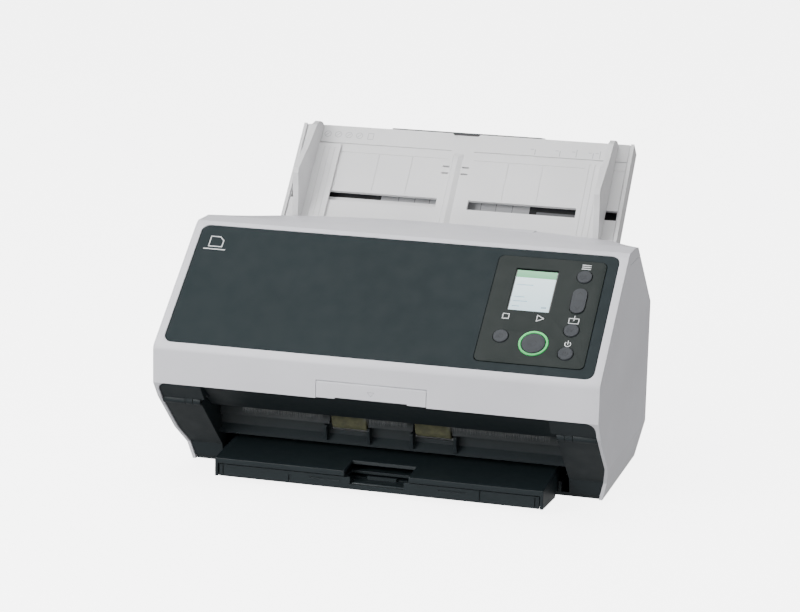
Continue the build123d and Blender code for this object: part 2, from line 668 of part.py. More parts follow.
def scan_unit(side):
    """Long housing of a contact image sensor, below (-1) or above (+1) the paper."""
    t0 = GLASS_T - UNIT_LENGTH / 2
    t1 = GLASS_T + UNIT_LENGTH / 2
    if side < 0:
        near = -GUIDE_DEPTH - SHEET - 0.2
    else:
        near = UPPER_GAP + SHEET + 0.2
    far = near + side * UNIT_DEPTH
    n0, n1 = sorted((near, far))
    half = GLASS_HALF + 6
    body = exit_block(-half, half, t0, t1, n0, n1)
    cavity0, cavity1 = sorted((near + side * 3, far - side * 3))
    body -= exit_block(-half + 3, half - 3, t0 + 3, t1 - 3, cavity0, cavity1)
    slot0, slot1 = sorted((near - side * 1, near + side * 4))
    body -= exit_block(-GLASS_HALF + 3, GLASS_HALF - 3, GLASS_T - 4, GLASS_T + 4, slot0, slot1)
    lens = exit_block(-GLASS_HALF, GLASS_HALF, GLASS_T - 2, GLASS_T + 2,
                      *sorted((near + side * 12, near + side * 16)))
    shelf = exit_block(-half + 2, half - 2, t0 + 2, t1 - 2, *sorted((near + side * 16, near + side * 18)))
    return main_solid(body + lens + shelf)


def scan_glass(side):
    t0 = GLASS_T - GLASS_LENGTH / 2
    t1 = GLASS_T + GLASS_LENGTH / 2
    near = -GUIDE_DEPTH if side < 0 else UPPER_GAP
    return exit_block(-GLASS_HALF, GLASS_HALF, t0, t1, *sorted((near, near + side * SHEET)))


def main_board():
    y = REAR_Y - 11
    board = block(-120, 60, y, y + 1.6, 12, 92)
    chips = block(-70, -44, y - 2, y, 50, 76) + block(-30, -14, y - 1.5, y, 56, 66)
    chips += block(10, 40, y - 8, y, 30, 40) + block(-105, -90, y - 4, y, 60, 84)
    for i in range(4):
        chips += Pos(-4 + 9 * i, y - 5, 50) * Rot(90, 0, 0) * Cylinder(3.2, 10)
    return board + chips


def motor():
    x1 = CHASSIS_X
    can = rod(MOTOR_Y, MOTOR_Z, MOTOR_R, x1 - 36, x1 - 2)
    can += block(x1 - 2, x1, MOTOR_Y - 21, MOTOR_Y + 21, MOTOR_Z - 12, MOTOR_Z + 12)
    can += rod(MOTOR_Y, MOTOR_Z, 4, x1, x1 + CHASSIS_THICK)
    can -= rod(MOTOR_Y, MOTOR_Z, SHAFT_R + RUN_FIT, x1 - 12, x1 + 10)
    return can


def port(x0, x1, z0, z1, wall, tongue):
    """Metal or plastic socket shell at the rear, open to the back."""
    y0 = REAR_Y - PORT_DEPTH
    y1 = REAR_Y
    shell = block(x0, x1, y0, y1, z0, z1)
    shell -= block(x0 + wall, x1 - wall, y0 + 1.5, y1 + 1, z0 + wall, z1 - wall)
    cx = (x0 + x1) / 2
    cz = (z0 + z1) / 2
    return shell + block(cx - tongue[0] / 2, cx + tongue[0] / 2, y0 + 1.5, y1 - 1.5,
                         cz - tongue[1] / 2, cz + tongue[1] / 2)


def dc_inlet():
    x0, x1, z0, z1 = PORT_HOLES["dc_inlet"]
    cx = (x0 + x1) / 2
    cz = (z0 + z1) / 2
    y0 = REAR_Y - PORT_DEPTH
    shell = block(x0, x1, y0, REAR_Y, z0, z1)
    hole = Pos(cx, REAR_Y - 3.9, cz) * Rot(90, 0, 0) * Cylinder(DC_BORE / 2, 8)
    pin = Pos(cx, REAR_Y - 4.7, cz) * Rot(90, 0, 0) * Cylinder(1.0, 6.4)
    return shell - hole + pin


# ---- belt drive ----

PULLEYS = {"motor": (MOTOR_Y, MOTOR_Z, 6.0), "pick": (*PICK_AXIS, 10.0),
           "feed": (*FEED_AXIS, 10.5), "eject": (*EJECT_AXIS, 8.0)}


def pulley(name):
    """Flanged pulley; the flanges stand clear of the belt at each side."""
    y, z, radius = PULLEYS[name]
    x0 = PULLEY_X
    x1 = x0 + 1 + BELT_GAP + BELT_WIDTH + BELT_GAP + 1
    solid = rod(y, z, radius, x0, x1)
    solid += rod(y, z, radius + 1.6, x0, x0 + 1) + rod(y, z, radius + 1.6, x1 - 1, x1)
    return solid - rod(y, z, SHAFT_R, x0 - 1, x1 + 1)


def motor_pulley():
    y, z, radius = PULLEYS["motor"]
    return pulley("motor") + rod(y, z, SHAFT_R, CHASSIS_X - 10, PULLEY_X + 7)


def drive_belt():
    """Closed belt round the four pulleys, toothed on its inside."""
    x0 = PULLEY_X + 1 + BELT_GAP
    inner = []
    outer = []
    for y, z, radius in PULLEYS.values():
        circle = CenterArc((y, z, 0), radius + BELT_GAP, 0, 360)
        inner.append(circle)
        outer.append(CenterArc((y, z, 0), radius + BELT_GAP + BELT_THICK, 0, 360))
    ring = make_hull(outer) - make_hull(inner)
    return Pos(x0, 0, 0) * extrude(Plane.YZ * ring, amount=BELT_WIDTH, dir=(1, 0, 0))


def shaft(axis, half_left, half_right):
    return rod(axis[0], axis[1], SHAFT_R, -half_left, half_right)


# ---- chute ----

def chute_ridge():
    """Low rib down the middle of the chute, pointed at its top end."""
    end = CHUTE_ABOVE + 8
    section = Polygon((-6.6, 0), (-5.2, RIDGE_HEIGHT), (-2.2, RIDGE_HEIGHT), (1.2, 0), align=None)
    face = Plane((0, 0, 0), x_dir=(1, 0, 0), z_dir=(0, -1, 0)) * section
    rib = Pos(0, -16, -0.01) * extrude(face, amount=end - 16, dir=(0, -1, 0))
    point = Plane.YZ * Polygon((-15, -1), (-23, RIDGE_HEIGHT + 1), (-10, RIDGE_HEIGHT + 1), align=None)
    return CHUTE * (rib - Pos(-20, 0, 0) * extrude(point, amount=40, dir=(1, 0, 0)))


def chute_plate():
    half = CHUTE_HALF
    plate = chute_block(-half, half, 0, CHUTE_LEN, -CHUTE_SKIN, 0)
    plate += both(chute_block(half - 2.4, half, 0, CHUTE_LEN - PICK_R - 3, -CHUTE_DEPTH + 2, 1.2))
    plate -= both(chute_block(SLOT_INNER, SLOT_OUTER, SLOT_TOP, SLOT_TOP + SLOT_WIDTH, -3, 1))
    notch = Polygon((-10.4, 1), (-10.4, 0), (-6.9, -3.4), (6.9, -3.4), (10.4, 0), (10.4, 1), align=None)
    plate -= CHUTE * (Pos(0, 0, -3) * extrude(notch, amount=4, dir=(0, 0, 1)))
    plate -= both(chute_block(8.5, half - 2.8, STEP_S, STEP_S + 1.1, -STEP_DEPTH, 1))
    plate -= both(chute_block(9.5, half - 3.4, STEP_S + 7.4, STEP_S + 7.9, -0.35, 1))
    plate -= both(chute_block(half - 3.2, half - 2.5, -1, CHUTE_ABOVE, -STEP_DEPTH, 1))
    for x in (35.0, 60.0):
        plate -= both(chute_block(x, x + 0.8, STEP_S + 7.9, SLOT_TOP - 2, -0.4, 1))
    for s in (27.5, 33.0):
        plate -= chute_block(-12.4, -7.4, s, s + 1.4, -3, 1)
        plate -= chute_block(1.8, 6.8, s, s + 1.4, -3, 1)
    plate += CHUTE * Pos(0, -PINION_S, (-CHUTE_SKIN - 8.2) / 2) * Cylinder(3, 8.2 - CHUTE_SKIN)
    plate += chute_ridge()
    plate -= roller_room(PICK_AXIS, PICK_R, PICK_SPANS)
    return main_solid(plate)


def chute_back():
    half = CHUTE_HALF - 2.7
    end = CHUTE_LEN - PICK_R - 3
    back = chute_block(-half, half, 5, end, -CHUTE_DEPTH, -CHUTE_DEPTH + 2)
    back += chute_block(-half, half, end - 2, end, -CHUTE_DEPTH + 2, -CHUTE_SKIN - 0.2)
    for i in range(9):
        x = -96 + 24 * i
        back += chute_block(x - 0.8, x + 0.8, 12, 70, -CHUTE_DEPTH - 1, -CHUTE_DEPTH)
    back += both(chute_block(half - 6, half, 5, end, -CHUTE_DEPTH + 2, -CHUTE_DEPTH + 3.2))
    return main_solid(back)


def chute_extension():
    half = EXT_HALF
    top = -CHUTE_DEPTH + 3.5 + EXT_THICK
    plate = rounded(-half, half, -108, -2, 5, top - EXT_THICK, top, CHUTE)
    grip = -CHUTE_SKIN - GAP
    plate += chute_block(-57, 57, -2.8, 4.6, top - EXT_THICK, grip)
    plate -= both(chute_block(40, 80, 30, 34, top - 4, top + 3))
    return main_solid(plate)


def guide_fin():
    """Right-hand paper fence with its foot plate and its arm through the slot.

    The outline rises from the chute's top edge and falls again to the shelf's rear edge.
    """
    x0 = FIN_X
    x1 = FIN_X + FIN_THICK
    rise = [(1, 0.5), (1.5, 6), (4, 11), (10, 16), (30, 21), (45, 26.5), (56, 30.5), (60, 29.5)]
    fall = [(16, 23), (8, 16), (0, 9.8), (-6, 4.6), (-18, 3.6), (-18, 0.5)]
    low = CHUTE_ABOVE + 6
    outline = [on_chute(s, n) for s, n in rise] + [on_chute(CHUTE_ABOVE - d, n) for d, n in fall]
    fin = prism(outline, x0, x1)
    fin += chute_block(FOOT_INNER, x0, 17, low + 6, 0.5, 2.3)
    for x in (94.0, 98.0, 102.0):
        fin -= chute_block(x - 0.5, x + 0.5, 20, low + 3, 1.9, 3)
    fin += chute_block(94, 102, SLOT_TOP + 0.4, SLOT_TOP + SLOT_WIDTH - 0.4, -4.4, 0.5)
    return fin


def rack(x0, x1, face, toward, n0, n1):
    """Straight rack along X; its teeth point along s by toward (+1 or -1)."""
    pitch = math.pi * PINION_MODULE
    add = PINION_MODULE
    ded = 1.25 * PINION_MODULE
    slope = math.tan(math.radians(20))
    body = chute_block(x0, x1, *sorted((face - toward * ded, face - toward * (ded + 2.4))), n0, n1)
    first = math.ceil((x0 + 2) / pitch - 0.5)
    last = math.floor((x1 - 2) / pitch - 0.5)
    half = pitch / 4 - BACKLASH / 4
    teeth = []
    for i in range(first, last + 1):
        x = (i + 0.5) * pitch
        root = half + ded * slope
        tip = half - add * slope
        points = [(x - root, -(face - toward * ded)), (x - tip, -(face + toward * add)),
                  (x + tip, -(face + toward * add)), (x + root, -(face - toward * ded))]
        tooth = extrude(Polygon(*points, align=None), amount=n1 - n0, dir=(0, 0, 1))
        teeth.append(CHUTE * (Pos(0, 0, n0) * tooth))
    return body.fuse(*teeth)


def guide_right():
    layer = -8.2
    link = chute_block(94, 102, SLOT_TOP + 0.4, PINION_S + RACK_R + 2, -4.4, -3.0)
    bar = rack(-8, 102, PINION_S + RACK_R, -1, layer, -4.9)
    joint = chute_block(94, 102, PINION_S + RACK_R + 1.3, PINION_S + RACK_R + 3.6, -4.95, -3.0)
    return main_solid(guide_fin() + link + bar + joint)


def guide_left():
    layer = -8.2
    post = chute_block(-102, -94, SLOT_TOP + 0.4, SLOT_TOP + SLOT_WIDTH - 3.1, layer, -4.3)
    bar = rack(-102, 8, PINION_S - RACK_R, 1, layer, -4.9)
    return main_solid(mirror(guide_fin(), about=Plane.YZ) + post + bar)


def guide_pinion():
    """Spur pinion between the two racks, one tooth pointing at each."""
    m = PINION_MODULE
    teeth = PINION_TEETH
    pitch_r = m * teeth / 2
    base = pitch_r * math.cos(math.radians(20))
    tip = pitch_r + m
    root = pitch_r - 1.25 * m
    inv = math.tan(math.radians(20)) - math.radians(20)
    half_angle = math.pi / (2 * teeth) - BACKLASH / (4 * pitch_r) + inv
    points = []
    for i in range(teeth):
        centre = 2 * math.pi * i / teeth
        left = []
        for k in range(5):
            angle = math.acos(base / (base + (tip - base) * k / 4))
            spread = math.tan(angle) - angle
            left.append((base / math.cos(angle), centre - half_angle + spread))
        right = [(r, 2 * centre - a) for r, a in left[::-1]]
        flank = [(root, left[0][1])] + left + right + [(root, right[-1][1])]
        points += [(r * math.sin(a), r * math.cos(a)) for r, a in flank]
    outline = Polygon(*points, align=None)
    solid = extrude(outline, amount=3.3, dir=(0, 0, 1)) - Cylinder(3 + RUN_FIT, 20)
    return CHUTE * (Pos(0, -PINION_S, -8.2) * solid)


# ---- stacker ----

def tray_top(y):
    """Height of the tray's top face."""
    slope_end = TRAY_FRONT + TRAY_SLOPE_LENGTH
    share = min(1.0, (y - TRAY_FRONT) / (slope_end - TRAY_FRONT))
    return TRAY_LIP_Z + share * (TRAY_REAR_Z - TRAY_LIP_Z)


def stacker_tray():
    half = TRAY_HALF
    bend = TRAY_FRONT + TRAY_SLOPE_LENGTH
    top = [(TRAY_FRONT, TRAY_LIP_Z), (bend, TRAY_REAR_Z), (TRAY_REAR, TRAY_REAR_Z)]
    under = [(TRAY_REAR, TRAY_REAR_Z - TRAY_THICK), (bend, TRAY_REAR_Z - TRAY_THICK),
             (TRAY_FRONT + 4, TRAY_LIP_Z - TRAY_THICK), (TRAY_FRONT + 2, TRAY_LIP_Z - LIP_HEIGHT),
             (TRAY_FRONT, TRAY_LIP_Z - LIP_HEIGHT)]
    tray = prism(top + under, -half, half)
    foot = FRONT_Y + RAKE_FOOT_Y
    wall = prism([(TRAY_FRONT, TRAY_LIP_Z - 1), (bend, TRAY_REAR_Z - 1), (TRAY_REAR, TRAY_REAR_Z - 1),
                  (TRAY_REAR, PLATE_TOP + SLIDE_GAP), (foot, PLATE_TOP + SLIDE_GAP), (foot - 4, 1.0),
                  (TRAY_FRONT, 3.7)], half - TRAY_THICK, half)
    tray += both(wall)
    recess = prism([(TRAY_FRONT - 1, 0), (TRAY_FRONT - 1, 30), (TRAY_FRONT + RECESS_DEPTH, 30),
                    (TRAY_FRONT + RECESS_DEPTH - 3, 0)], -RECESS_HALF, RECESS_HALF)
    return main_solid(tray - recess)


def stacker_extension_1():
    y0 = EXT1_FRONT
    y1 = TRAY_REAR - 4
    half = EXT1_HALF
    plate = block(-half, half, y0, y1, EXT1_TOP - 2, EXT1_TOP)
    plate += block(-half, half, y0, y0 + 2, EXT1_TOP - 3.4, EXT1_TOP)
    plate += both(block(half - TRAY_THICK, half, y0, y1, PLATE_TOP + SLIDE_GAP, EXT1_TOP))
    plate -= block(-RECESS_HALF, RECESS_HALF, y0 - 1, TRAY_FRONT + RECESS_DEPTH - 2, 0, 30)
    return main_solid(plate)


def stacker_extension_2():
    y0 = EXT2_FRONT
    y1 = TRAY_REAR - 8
    half = EXT2_HALF
    plate = block(-half, half, y0, y1, EXT2_TOP - 2, EXT2_TOP)
    plate += block(-EXT1_HALF, EXT1_HALF, y0, y0 + 2, 3.7, EXT1_TOP)
    room = 0.4
    gate = STOP_HALF + room
    plate -= block(-gate, gate, STOP_Y - 1.2 - room, STOP_Y + STOP_LENGTH + room, 0, 30)
    plate -= block(-gate, gate, y0 - 1, y0 + 3, EXT2_TOP - 1, 30)
    ear = block(gate, STOP_HALF + 3.6, STOP_Y - 2.4, STOP_Y + 2.4, EXT2_TOP - 3, EXT2_TOP + 1.2)
    plate += both(ear)
    plate -= block(-61, -59.6, y0 - 1, y0 + 0.8, 4.9, 9.4)
    plate -= block(-46, -26, y0 - 1, y0 + 0.8, 8.8, 9.8)
    plate -= block(42, 61, y0 - 1, y0 + 0.8, 8.8, 9.8)
    plate -= block(69.6, 70.6, y0 - 1, y0 + 0.8, 4.9, EXT1_TOP + 1)
    plate -= both(block(106.6, 107.2, y0 - 1, y0 + 0.8, 4.6, EXT1_TOP - 0.8))
    plate -= rod(STOP_Y, STOP_Z, 1 + RUN_FIT, -STOP_HALF - 3, STOP_HALF + 3)
    return main_solid(plate)


def stacker_stopper():
    """Paper stop that folds up out of the finger recess."""
    length = STOP_LENGTH
    plate = block(-STOP_HALF, STOP_HALF, STOP_Y, STOP_Y + length, STOP_Z - 1, STOP_Z + 1)
    plate += rod(STOP_Y, STOP_Z, 1.2, -STOP_HALF, STOP_HALF)
    plate += block(-10, 10, STOP_Y + length - 2.4, STOP_Y + length, STOP_Z, STOP_Z + 3)
    plate += rod(STOP_Y, STOP_Z, 1.0, -STOP_HALF - 2.6, STOP_HALF + 2.6)
    return plate


# ---- top section ----

def panel_hole(n0, n1, inset):
    half = HALF_W - PANEL_MARGIN - inset
    return rounded(-half, half, inset, PANEL_LEN - inset, PANEL_RADIUS, n0, n1, PANEL)


def top_cover():
    cover = SHELL & above_seam()
    cover -= mouth_opening(0)
    cover -= panel_hole(-PANEL_THICK, 5, -0.3)
    cover -= panel_hole(-6, 5, 4)
    tab = TAB_HALF + GAP
    cover -= block(-tab, tab, FRONT_Y - 1, FRONT_Y + WALL + 1, BAND_BOTTOM - 1,
                   BAND_BOTTOM + 0.5 + TAB_HEIGHT + GAP)
    cover -= rod(TAB_AXIS[0], TAB_AXIS[1], 0.7 + RUN_FIT, -tab - 2, tab + 2)
    cover -= block(LEVER_X0 - GAP, LEVER_X1 + GAP, REAR_Y - LEVER_DEPTH - GAP, REAR_Y + 5, BODY_HEIGHT - 20,
                   BODY_HEIGHT + 5)
    cover -= rod(LEVER_AXIS[0], LEVER_AXIS[1], 0.8 + RUN_FIT, LEVER_X0 - 3, LEVER_X1 + 3)
    return main_solid(cover)


def dark_panel():
    panel = panel_hole(-PANEL_THICK, 0, 0)
    panel += panel_hole(-PANEL_THICK - 2, -PANEL_THICK, 5)
    hole = rounded(OP_X0 - 0.3, OP_X1 + 0.3, OP_S0 - 0.3, OP_S1 + 0.3, OP_RADIUS, -9, 5, PANEL)
    return main_solid(panel - hole)


def slot_shape(x, s, length, width, n0, n1):
    """Rounded slot standing on the panel, long up the slope."""
    face = Pos(x, s, n0) * Rot(0, 0, 90) * SlotOverall(length, width)
    return PANEL * extrude(face, amount=n1 - n0, dir=(0, 0, 1))


def operator_panel():
    panel = rounded(OP_X0, OP_X1, OP_S0, OP_S1, OP_RADIUS, -3.5, 0.25, PANEL)
    x0, x1, s0, s1 = LCD
    panel -= rounded(x0, x1, s0, s1, 0.8, -5, 1, PANEL)
    for x, s, radius in BUTTONS.values():
        gap = RING_R + GAP / 2 if radius == SCAN_R else radius + BUTTON_GAP
        panel -= disc(x, s, gap, -5, 1, PANEL)
    x, s, length, width = ROCKER
    panel -= slot_shape(x, s, length + 2 * BUTTON_GAP, width + 2 * BUTTON_GAP, -5, 1)
    panel -= rocker_pin(width + 5, 0.8 + RUN_FIT)
    return main_solid(panel)


def rocker_pin(length, radius):
    """Pin across the rocker, along X."""
    return PANEL * (Pos(ROCKER[0], ROCKER[1], -1.6) * Rot(0, 90, 0) * Cylinder(radius, length))


def display():
    x0, x1, s0, s1 = LCD
    glass = panel_block(x0 + 0.3, x1 - 0.3, s0 + 0.3, s1 - 0.3, -1.4, -0.8)
    return glass + panel_block(x0 - 3, x1 + 3, s0 - 3, s1 + 3, -6.5, -3.5) + panel_block(
        x0 + 0.5, x1 - 0.5, s0 + 0.5, s1 - 0.5, -3.5, -1.4)


def control_board():
    board = panel_block(OP_X0 + 2, OP_X1 - 2, OP_S0 + 2, OP_S1 - 2, -10.6, -9)
    board += panel_block(OP_X0 + 4, OP_X0 + 12, OP_S0 + 30, OP_S0 + 60, -13, -10.6)
    for x, s, radius in BUTTONS.values():
        board += disc(x, s, 2, -9, -7.6, PANEL)
    return board


def push_button(name):
    x, s, radius = BUTTONS[name]
    cap = disc(x, s, radius, -4.5, BUTTON_PROUD, PANEL)
    dish = radius * 3
    cap -= PANEL * Pos(x, s, BUTTON_PROUD - 0.35 + dish) * Sphere(dish)
    stem = disc(x, s, 1.5, -6.2, -4.5, PANEL)
    return main_solid(cap + stem)


def button_rocker():
    x, s, length, width = ROCKER
    cap = slot_shape(x, s, length, width, -3.0, BUTTON_PROUD)
    cap += rocker_pin(width + 4, 0.8)
    return main_solid(cap)


def scan_ring():
    x, s, radius = BUTTONS["button_scan"]
    return disc(x, s, RING_R, -4, 0.9, PANEL) - disc(x, s, radius + BUTTON_GAP, -5, 2, PANEL)


def return_guide():
    """Flap on the band, hinged along its top edge."""
    y, z = TAB_AXIS
    plate = block(-TAB_HALF, TAB_HALF, FRONT_Y, FRONT_Y + 2.5, BAND_BOTTOM + 0.5, z)
    plate += rod(y, z, 1.25, -TAB_HALF, TAB_HALF)
    grip = TAB_HALF * 0.66
    plate -= block(-grip, grip, FRONT_Y - 1, FRONT_Y + 5, BAND_BOTTOM, BAND_BOTTOM + 1.3)
    plate += rod(y, z, 0.7, -TAB_HALF - 1.8, TAB_HALF + 1.8)
    return main_solid(plate)


def shelf_z(x, y):
    """Height of the crowned shelf."""
    far = REAR_Y - SHELF_FLAT_Y
    share = max(0.0, (y - SHELF_FLAT_Y) / far)
    return BODY_HEIGHT - share * (SHELF_REAR_DROP + CROWN_DROP * (x / CROWN_HALF) ** 2)


LEVER_X = (LEVER_X0 + LEVER_X1) / 2
LEVER_AXIS = (REAR_Y - LEVER_DEPTH + 1.2, shelf_z(LEVER_X, REAR_Y - LEVER_DEPTH) - 1.3)


def release_lever():
    """Pull tab in the shelf's rear edge that frees the cover."""
    y0 = REAR_Y - LEVER_DEPTH
    z0 = shelf_z(LEVER_X, y0)
    z1 = shelf_z(LEVER_X, REAR_Y)
    y, z = LEVER_AXIS
    plate = prism([(y, z0), (REAR_Y, z1 + 0.3), (REAR_Y, z1 - 6), (REAR_Y - 2, z1 - 6),
                   (REAR_Y - 2, z1 - 2.2), (y, z - 1.2)], LEVER_X0, LEVER_X1)
    plate += rod(y, z, 1.2, LEVER_X0, LEVER_X1)
    plate += rod(y, z, 0.8, LEVER_X0 - 2.4, LEVER_X1 + 2.4)
    return main_solid(plate)


def frame_corner(throat):
    """Dark upper corner of the mouth's frame, hollow from behind."""
    foot = SEAM_BOTTOM + GAP
    head = BAND_BOTTOM - GAP
    x1 = INNER_X - RIM_GAP
    corner = prism([(FRONT_Y + 0.9, head), (FRONT_Y + SEAM_BACK + 0.6, foot), (HINGE_Y + 10, foot),
                    (HINGE_Y + 10, head)], throat - 3, x1)
    corner &= mouth_opening(GAP)
    corner += block(throat - 3, x1 - MOUTH_RADIUS - 1, LIP_Y, HINGE_Y + 10, head - 1, BAND_BOTTOM + 2.6)
    return corner - prism([(LIP_Y + 2, BAND_BOTTOM), (LIP_Y + 7, foot + 2.5), (HINGE_Y + 12, foot + 2.5),
                           (HINGE_Y + 12, BAND_BOTTOM)], throat + 1.5, x1 - 2.2)


def upper_guide():
    """Dark underside of the top section with its side plates and upper hinge knuckles."""
    top_lip = (LIP_EDGE[0], LIP_EDGE[1] + 2.8)
    under = [(LIP_Y, BAND_BOTTOM), LIP_EDGE, on_exit(-10, UPPER_GAP)]
    under += path_curve(UPPER_GAP, -9, CHUTE_LEN - 6)[1:-1]
    under += [on_chute(CHUTE_LEN - 4, 5.6), on_chute(CHUTE_ABOVE + 12, 6.6)]
    over = [(LIP_Y, BAND_BOTTOM + 2.6), top_lip, on_exit(-10, UPPER_GAP + SHEET)]
    over += path_curve(UPPER_GAP + SHEET, -9, CHUTE_LEN - 6)[1:-1]
    over += [on_chute(CHUTE_LEN - 4, 5.6 + SHEET), on_chute(CHUTE_ABOVE + 12, 6.6 + SHEET)]
    sheet = prism(under + over[::-1], -GUIDE_HALF, GUIDE_HALF)
    throat = MOUTH_HALF - 0.5
    low = block(throat, HALF_W, FRONT_Y - 5, EXIT_Y + 14, 0, SEAM_BOTTOM + 0.2)
    sheet -= both_cut(low)
    cavity = side_profile(WALL + SIDE_PLATE_DROP)
    side = Pos(GUIDE_HALF - SHEET, 0, 0) * extrude(Plane.YZ * cavity, amount=SHEET, dir=(1, 0, 0))
    side &= prism(under + [(REAR_Y, BODY_HEIGHT), (FRONT_Y, BODY_HEIGHT)], 0, HALF_W)
    side -= crown_tool(WALL + 8)
    side -= block(0, HALF_W, REAR_Y - LEVER_DEPTH - 4, REAR_Y + 5, 0, BODY_HEIGHT)
    side -= low
    corner = frame_corner(throat)
    k0 = MOUTH_HALF + KNUCKLE_WIDTH + KNUCKLE_GAP
    k1 = k0 + KNUCKLE_WIDTH
    corner -= rod(HINGE_Y, HINGE_Z, KNUCKLE_R + 0.6, 0, k0)
    corner -= rod(HINGE_Y, HINGE_Z, KNUCKLE_R + 0.6, k1, HALF_W)
    knuckle = rod(HINGE_Y, HINGE_Z, KNUCKLE_R, k0, k1)
    knuckle += block(k0, k1, HINGE_Y - KNUCKLE_R, HINGE_Y + 1.5, HINGE_Z, SEAM_BOTTOM + 3)
    knuckle -= rod(HINGE_Y, HINGE_Z, PIN_R + RUN_FIT, k0 - 1, k1 + 1)
    right = side + corner + knuckle
    solid = sheet + right + mirror(right, about=Plane.YZ)
    solid -= both_cut(block(CHUTE_HALF + 0.6, HALF_W, SEAM_FLAT_Y + 20, REAR_Y + 5, 0, BODY_HEIGHT))
    solid -= both_cut(corner_tool(WALL + 1))
    solid -= rod(HINGE_Y, HINGE_Z, PIN_R + RUN_FIT, k0 - 1, k1 + 1)
    solid -= rod(HINGE_Y, HINGE_Z, PIN_R + RUN_FIT, -k1 - 1, -k0 + 1)
    solid -= roller_room(BRAKE_AXIS, BRAKE_R, PICK_SPANS)
    solid -= roller_room(FEED_IDLER_AXIS, IDLER_R, FEED_SPANS)
    solid -= roller_room(EJECT_IDLER_AXIS, IDLER_R, EJECT_SPANS)
    for axis, span in ((BRAKE_AXIS, 36), (FEED_IDLER_AXIS, 88), (EJECT_IDLER_AXIS, 45)):
        for x in (-span, span):
            solid += rod(axis[0], axis[1], 4.4, x - 1.5, x + 1.5)
        solid -= rod(axis[0], axis[1], 2 + RUN_FIT, -span - 3, span + 3)
    t0 = GLASS_T - GLASS_LENGTH / 2
    t1 = GLASS_T + GLASS_LENGTH / 2
    solid -= exit_block(-GLASS_HALF - 0.2, GLASS_HALF + 0.2, t0 - 0.2, t1 + 0.2, 0, 8)
    return main_solid(solid)


def lip_height(y):
    """Height of the dark underside's surface just behind its lip."""
    back_y, back_z = on_exit(-10, UPPER_GAP)
    return LIP_EDGE[1] + (y - LIP_EDGE[0]) / (back_y - LIP_EDGE[0]) * (back_z - LIP_EDGE[1])


def static_brushes():
    """Bristle strips hanging in the exit, between the eject rollers."""
    y0 = LIP_EDGE[0] + 1.4
    y1 = y0 + 1.2
    top = min(lip_height(y0), lip_height(y1)) - BRUSH_GAP
    strips = None
    for x0, x1 in ((-99, -43), (-15, 15), (43, 112)):
        strip = block(x0, x1, y0, y1, top - BRUSH_LENGTH, top)
        strips = strip if strips is None else strips + strip
    return strips


def axle_roller(axis, radius, spans, half):
    """Rollers moulded on a thin axle."""
    solid = rod(axis[0], axis[1], 2, -half, half)
    for x0, x1 in spans:
        solid += rod(axis[0], axis[1], radius, x0, x1)
    return solid


def usb_port():
    return port(*PORT_HOLES["usb_port"], 0.8, (6, 3.2))


def lan_port():
    return port(*PORT_HOLES["lan_port"], 1.2, (11, 1.6))


def save(name, solid):
    """Write one part, moved to the whole object's own origin."""
    moved = Pos(0, Y_SHIFT, 0) * solid
    moved.label = name
    export_step(moved, f"parts/{name}.step")


def build():
    shaft_half = CHASSIS_X + CHASSIS_THICK + 1
    pulley_end = PULLEY_X + 6.6
    parts = {
        "bottom_plate": bottom_plate(),
        "side_cover_left": side_cover_left(),
        "side_cover_right": side_cover_right(),
        "rear_cover": rear_cover(),
        "mouth_frame": mouth_frame(),
        "cover_hinge_pins": cover_hinge_pins(),
        "lower_guide": lower_guide(),
        "chassis": chassis(),
        "shaft_bushes": shaft_bushes(),
        "lower_scan_unit": scan_unit(-1),
        "lower_scan_glass": scan_glass(-1),
        "main_board": main_board(),
        "feed_motor": motor(),
        "motor_pulley": motor_pulley(),
        "drive_belt": drive_belt(),
        "dc_inlet": dc_inlet(),
        "usb_port": usb_port(),
        "lan_port": lan_port(),
        "rubber_feet": rubber_feet(),
        "frame_screws": frame_screws(),
        "pick_shaft": shaft(PICK_AXIS, shaft_half, pulley_end),
        "pick_rollers": rollers(PICK_AXIS, PICK_R, PICK_SPANS, SHAFT_R),
        "pick_pulley": pulley("pick"),
        "feed_shaft": shaft(FEED_AXIS, shaft_half, pulley_end),
        "feed_rollers": rollers(FEED_AXIS, FEED_R, FEED_SPANS, SHAFT_R),
        "feed_pulley": pulley("feed"),
        "eject_shaft": shaft(EJECT_AXIS, shaft_half, pulley_end),
        "eject_rollers": rollers(EJECT_AXIS, EJECT_R, EJECT_SPANS, SHAFT_R),
        "eject_pulley": pulley("eject"),
        "chute_plate": chute_plate(),
        "chute_back": chute_back(),
        "chute_extension": chute_extension(),
        "guide_left": guide_left(),
        "guide_right": guide_right(),
        "guide_pinion": guide_pinion(),
        "stacker_tray": stacker_tray(),
        "stacker_extension_1": stacker_extension_1(),
        "stacker_extension_2": stacker_extension_2(),
        "stacker_stopper": stacker_stopper(),
        "top_cover": top_cover(),
        "dark_panel": dark_panel(),
        "operator_panel": operator_panel(),
        "display": display(),
        "control_board": control_board(),
        "upper_guide": upper_guide(),
        "upper_scan_unit": scan_unit(1),
        "upper_scan_glass": scan_glass(1),
        "static_brushes": static_brushes(),
        "scan_ring": scan_ring(),
        "button_rocker": button_rocker(),
        "return_guide": return_guide(),
        "release_lever": release_lever(),
        "brake_roller": axle_roller(BRAKE_AXIS, BRAKE_R, PICK_SPANS, 39),
        "feed_idlers": axle_roller(FEED_IDLER_AXIS, IDLER_R, FEED_SPANS, 91),
        "eject_idlers": axle_roller(EJECT_IDLER_AXIS, IDLER_R, EJECT_SPANS, 48),
    }
    for name in BUTTONS:
        parts[name] = push_button(name)
    os.makedirs("parts", exist_ok=True)
    for name, solid in parts.items():
        save(name, solid)
    return parts


if __name__ == "__main__":
    build()
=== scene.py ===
import json
import math
import random

import bmesh
import bpy
from mathutils import Matrix, Vector


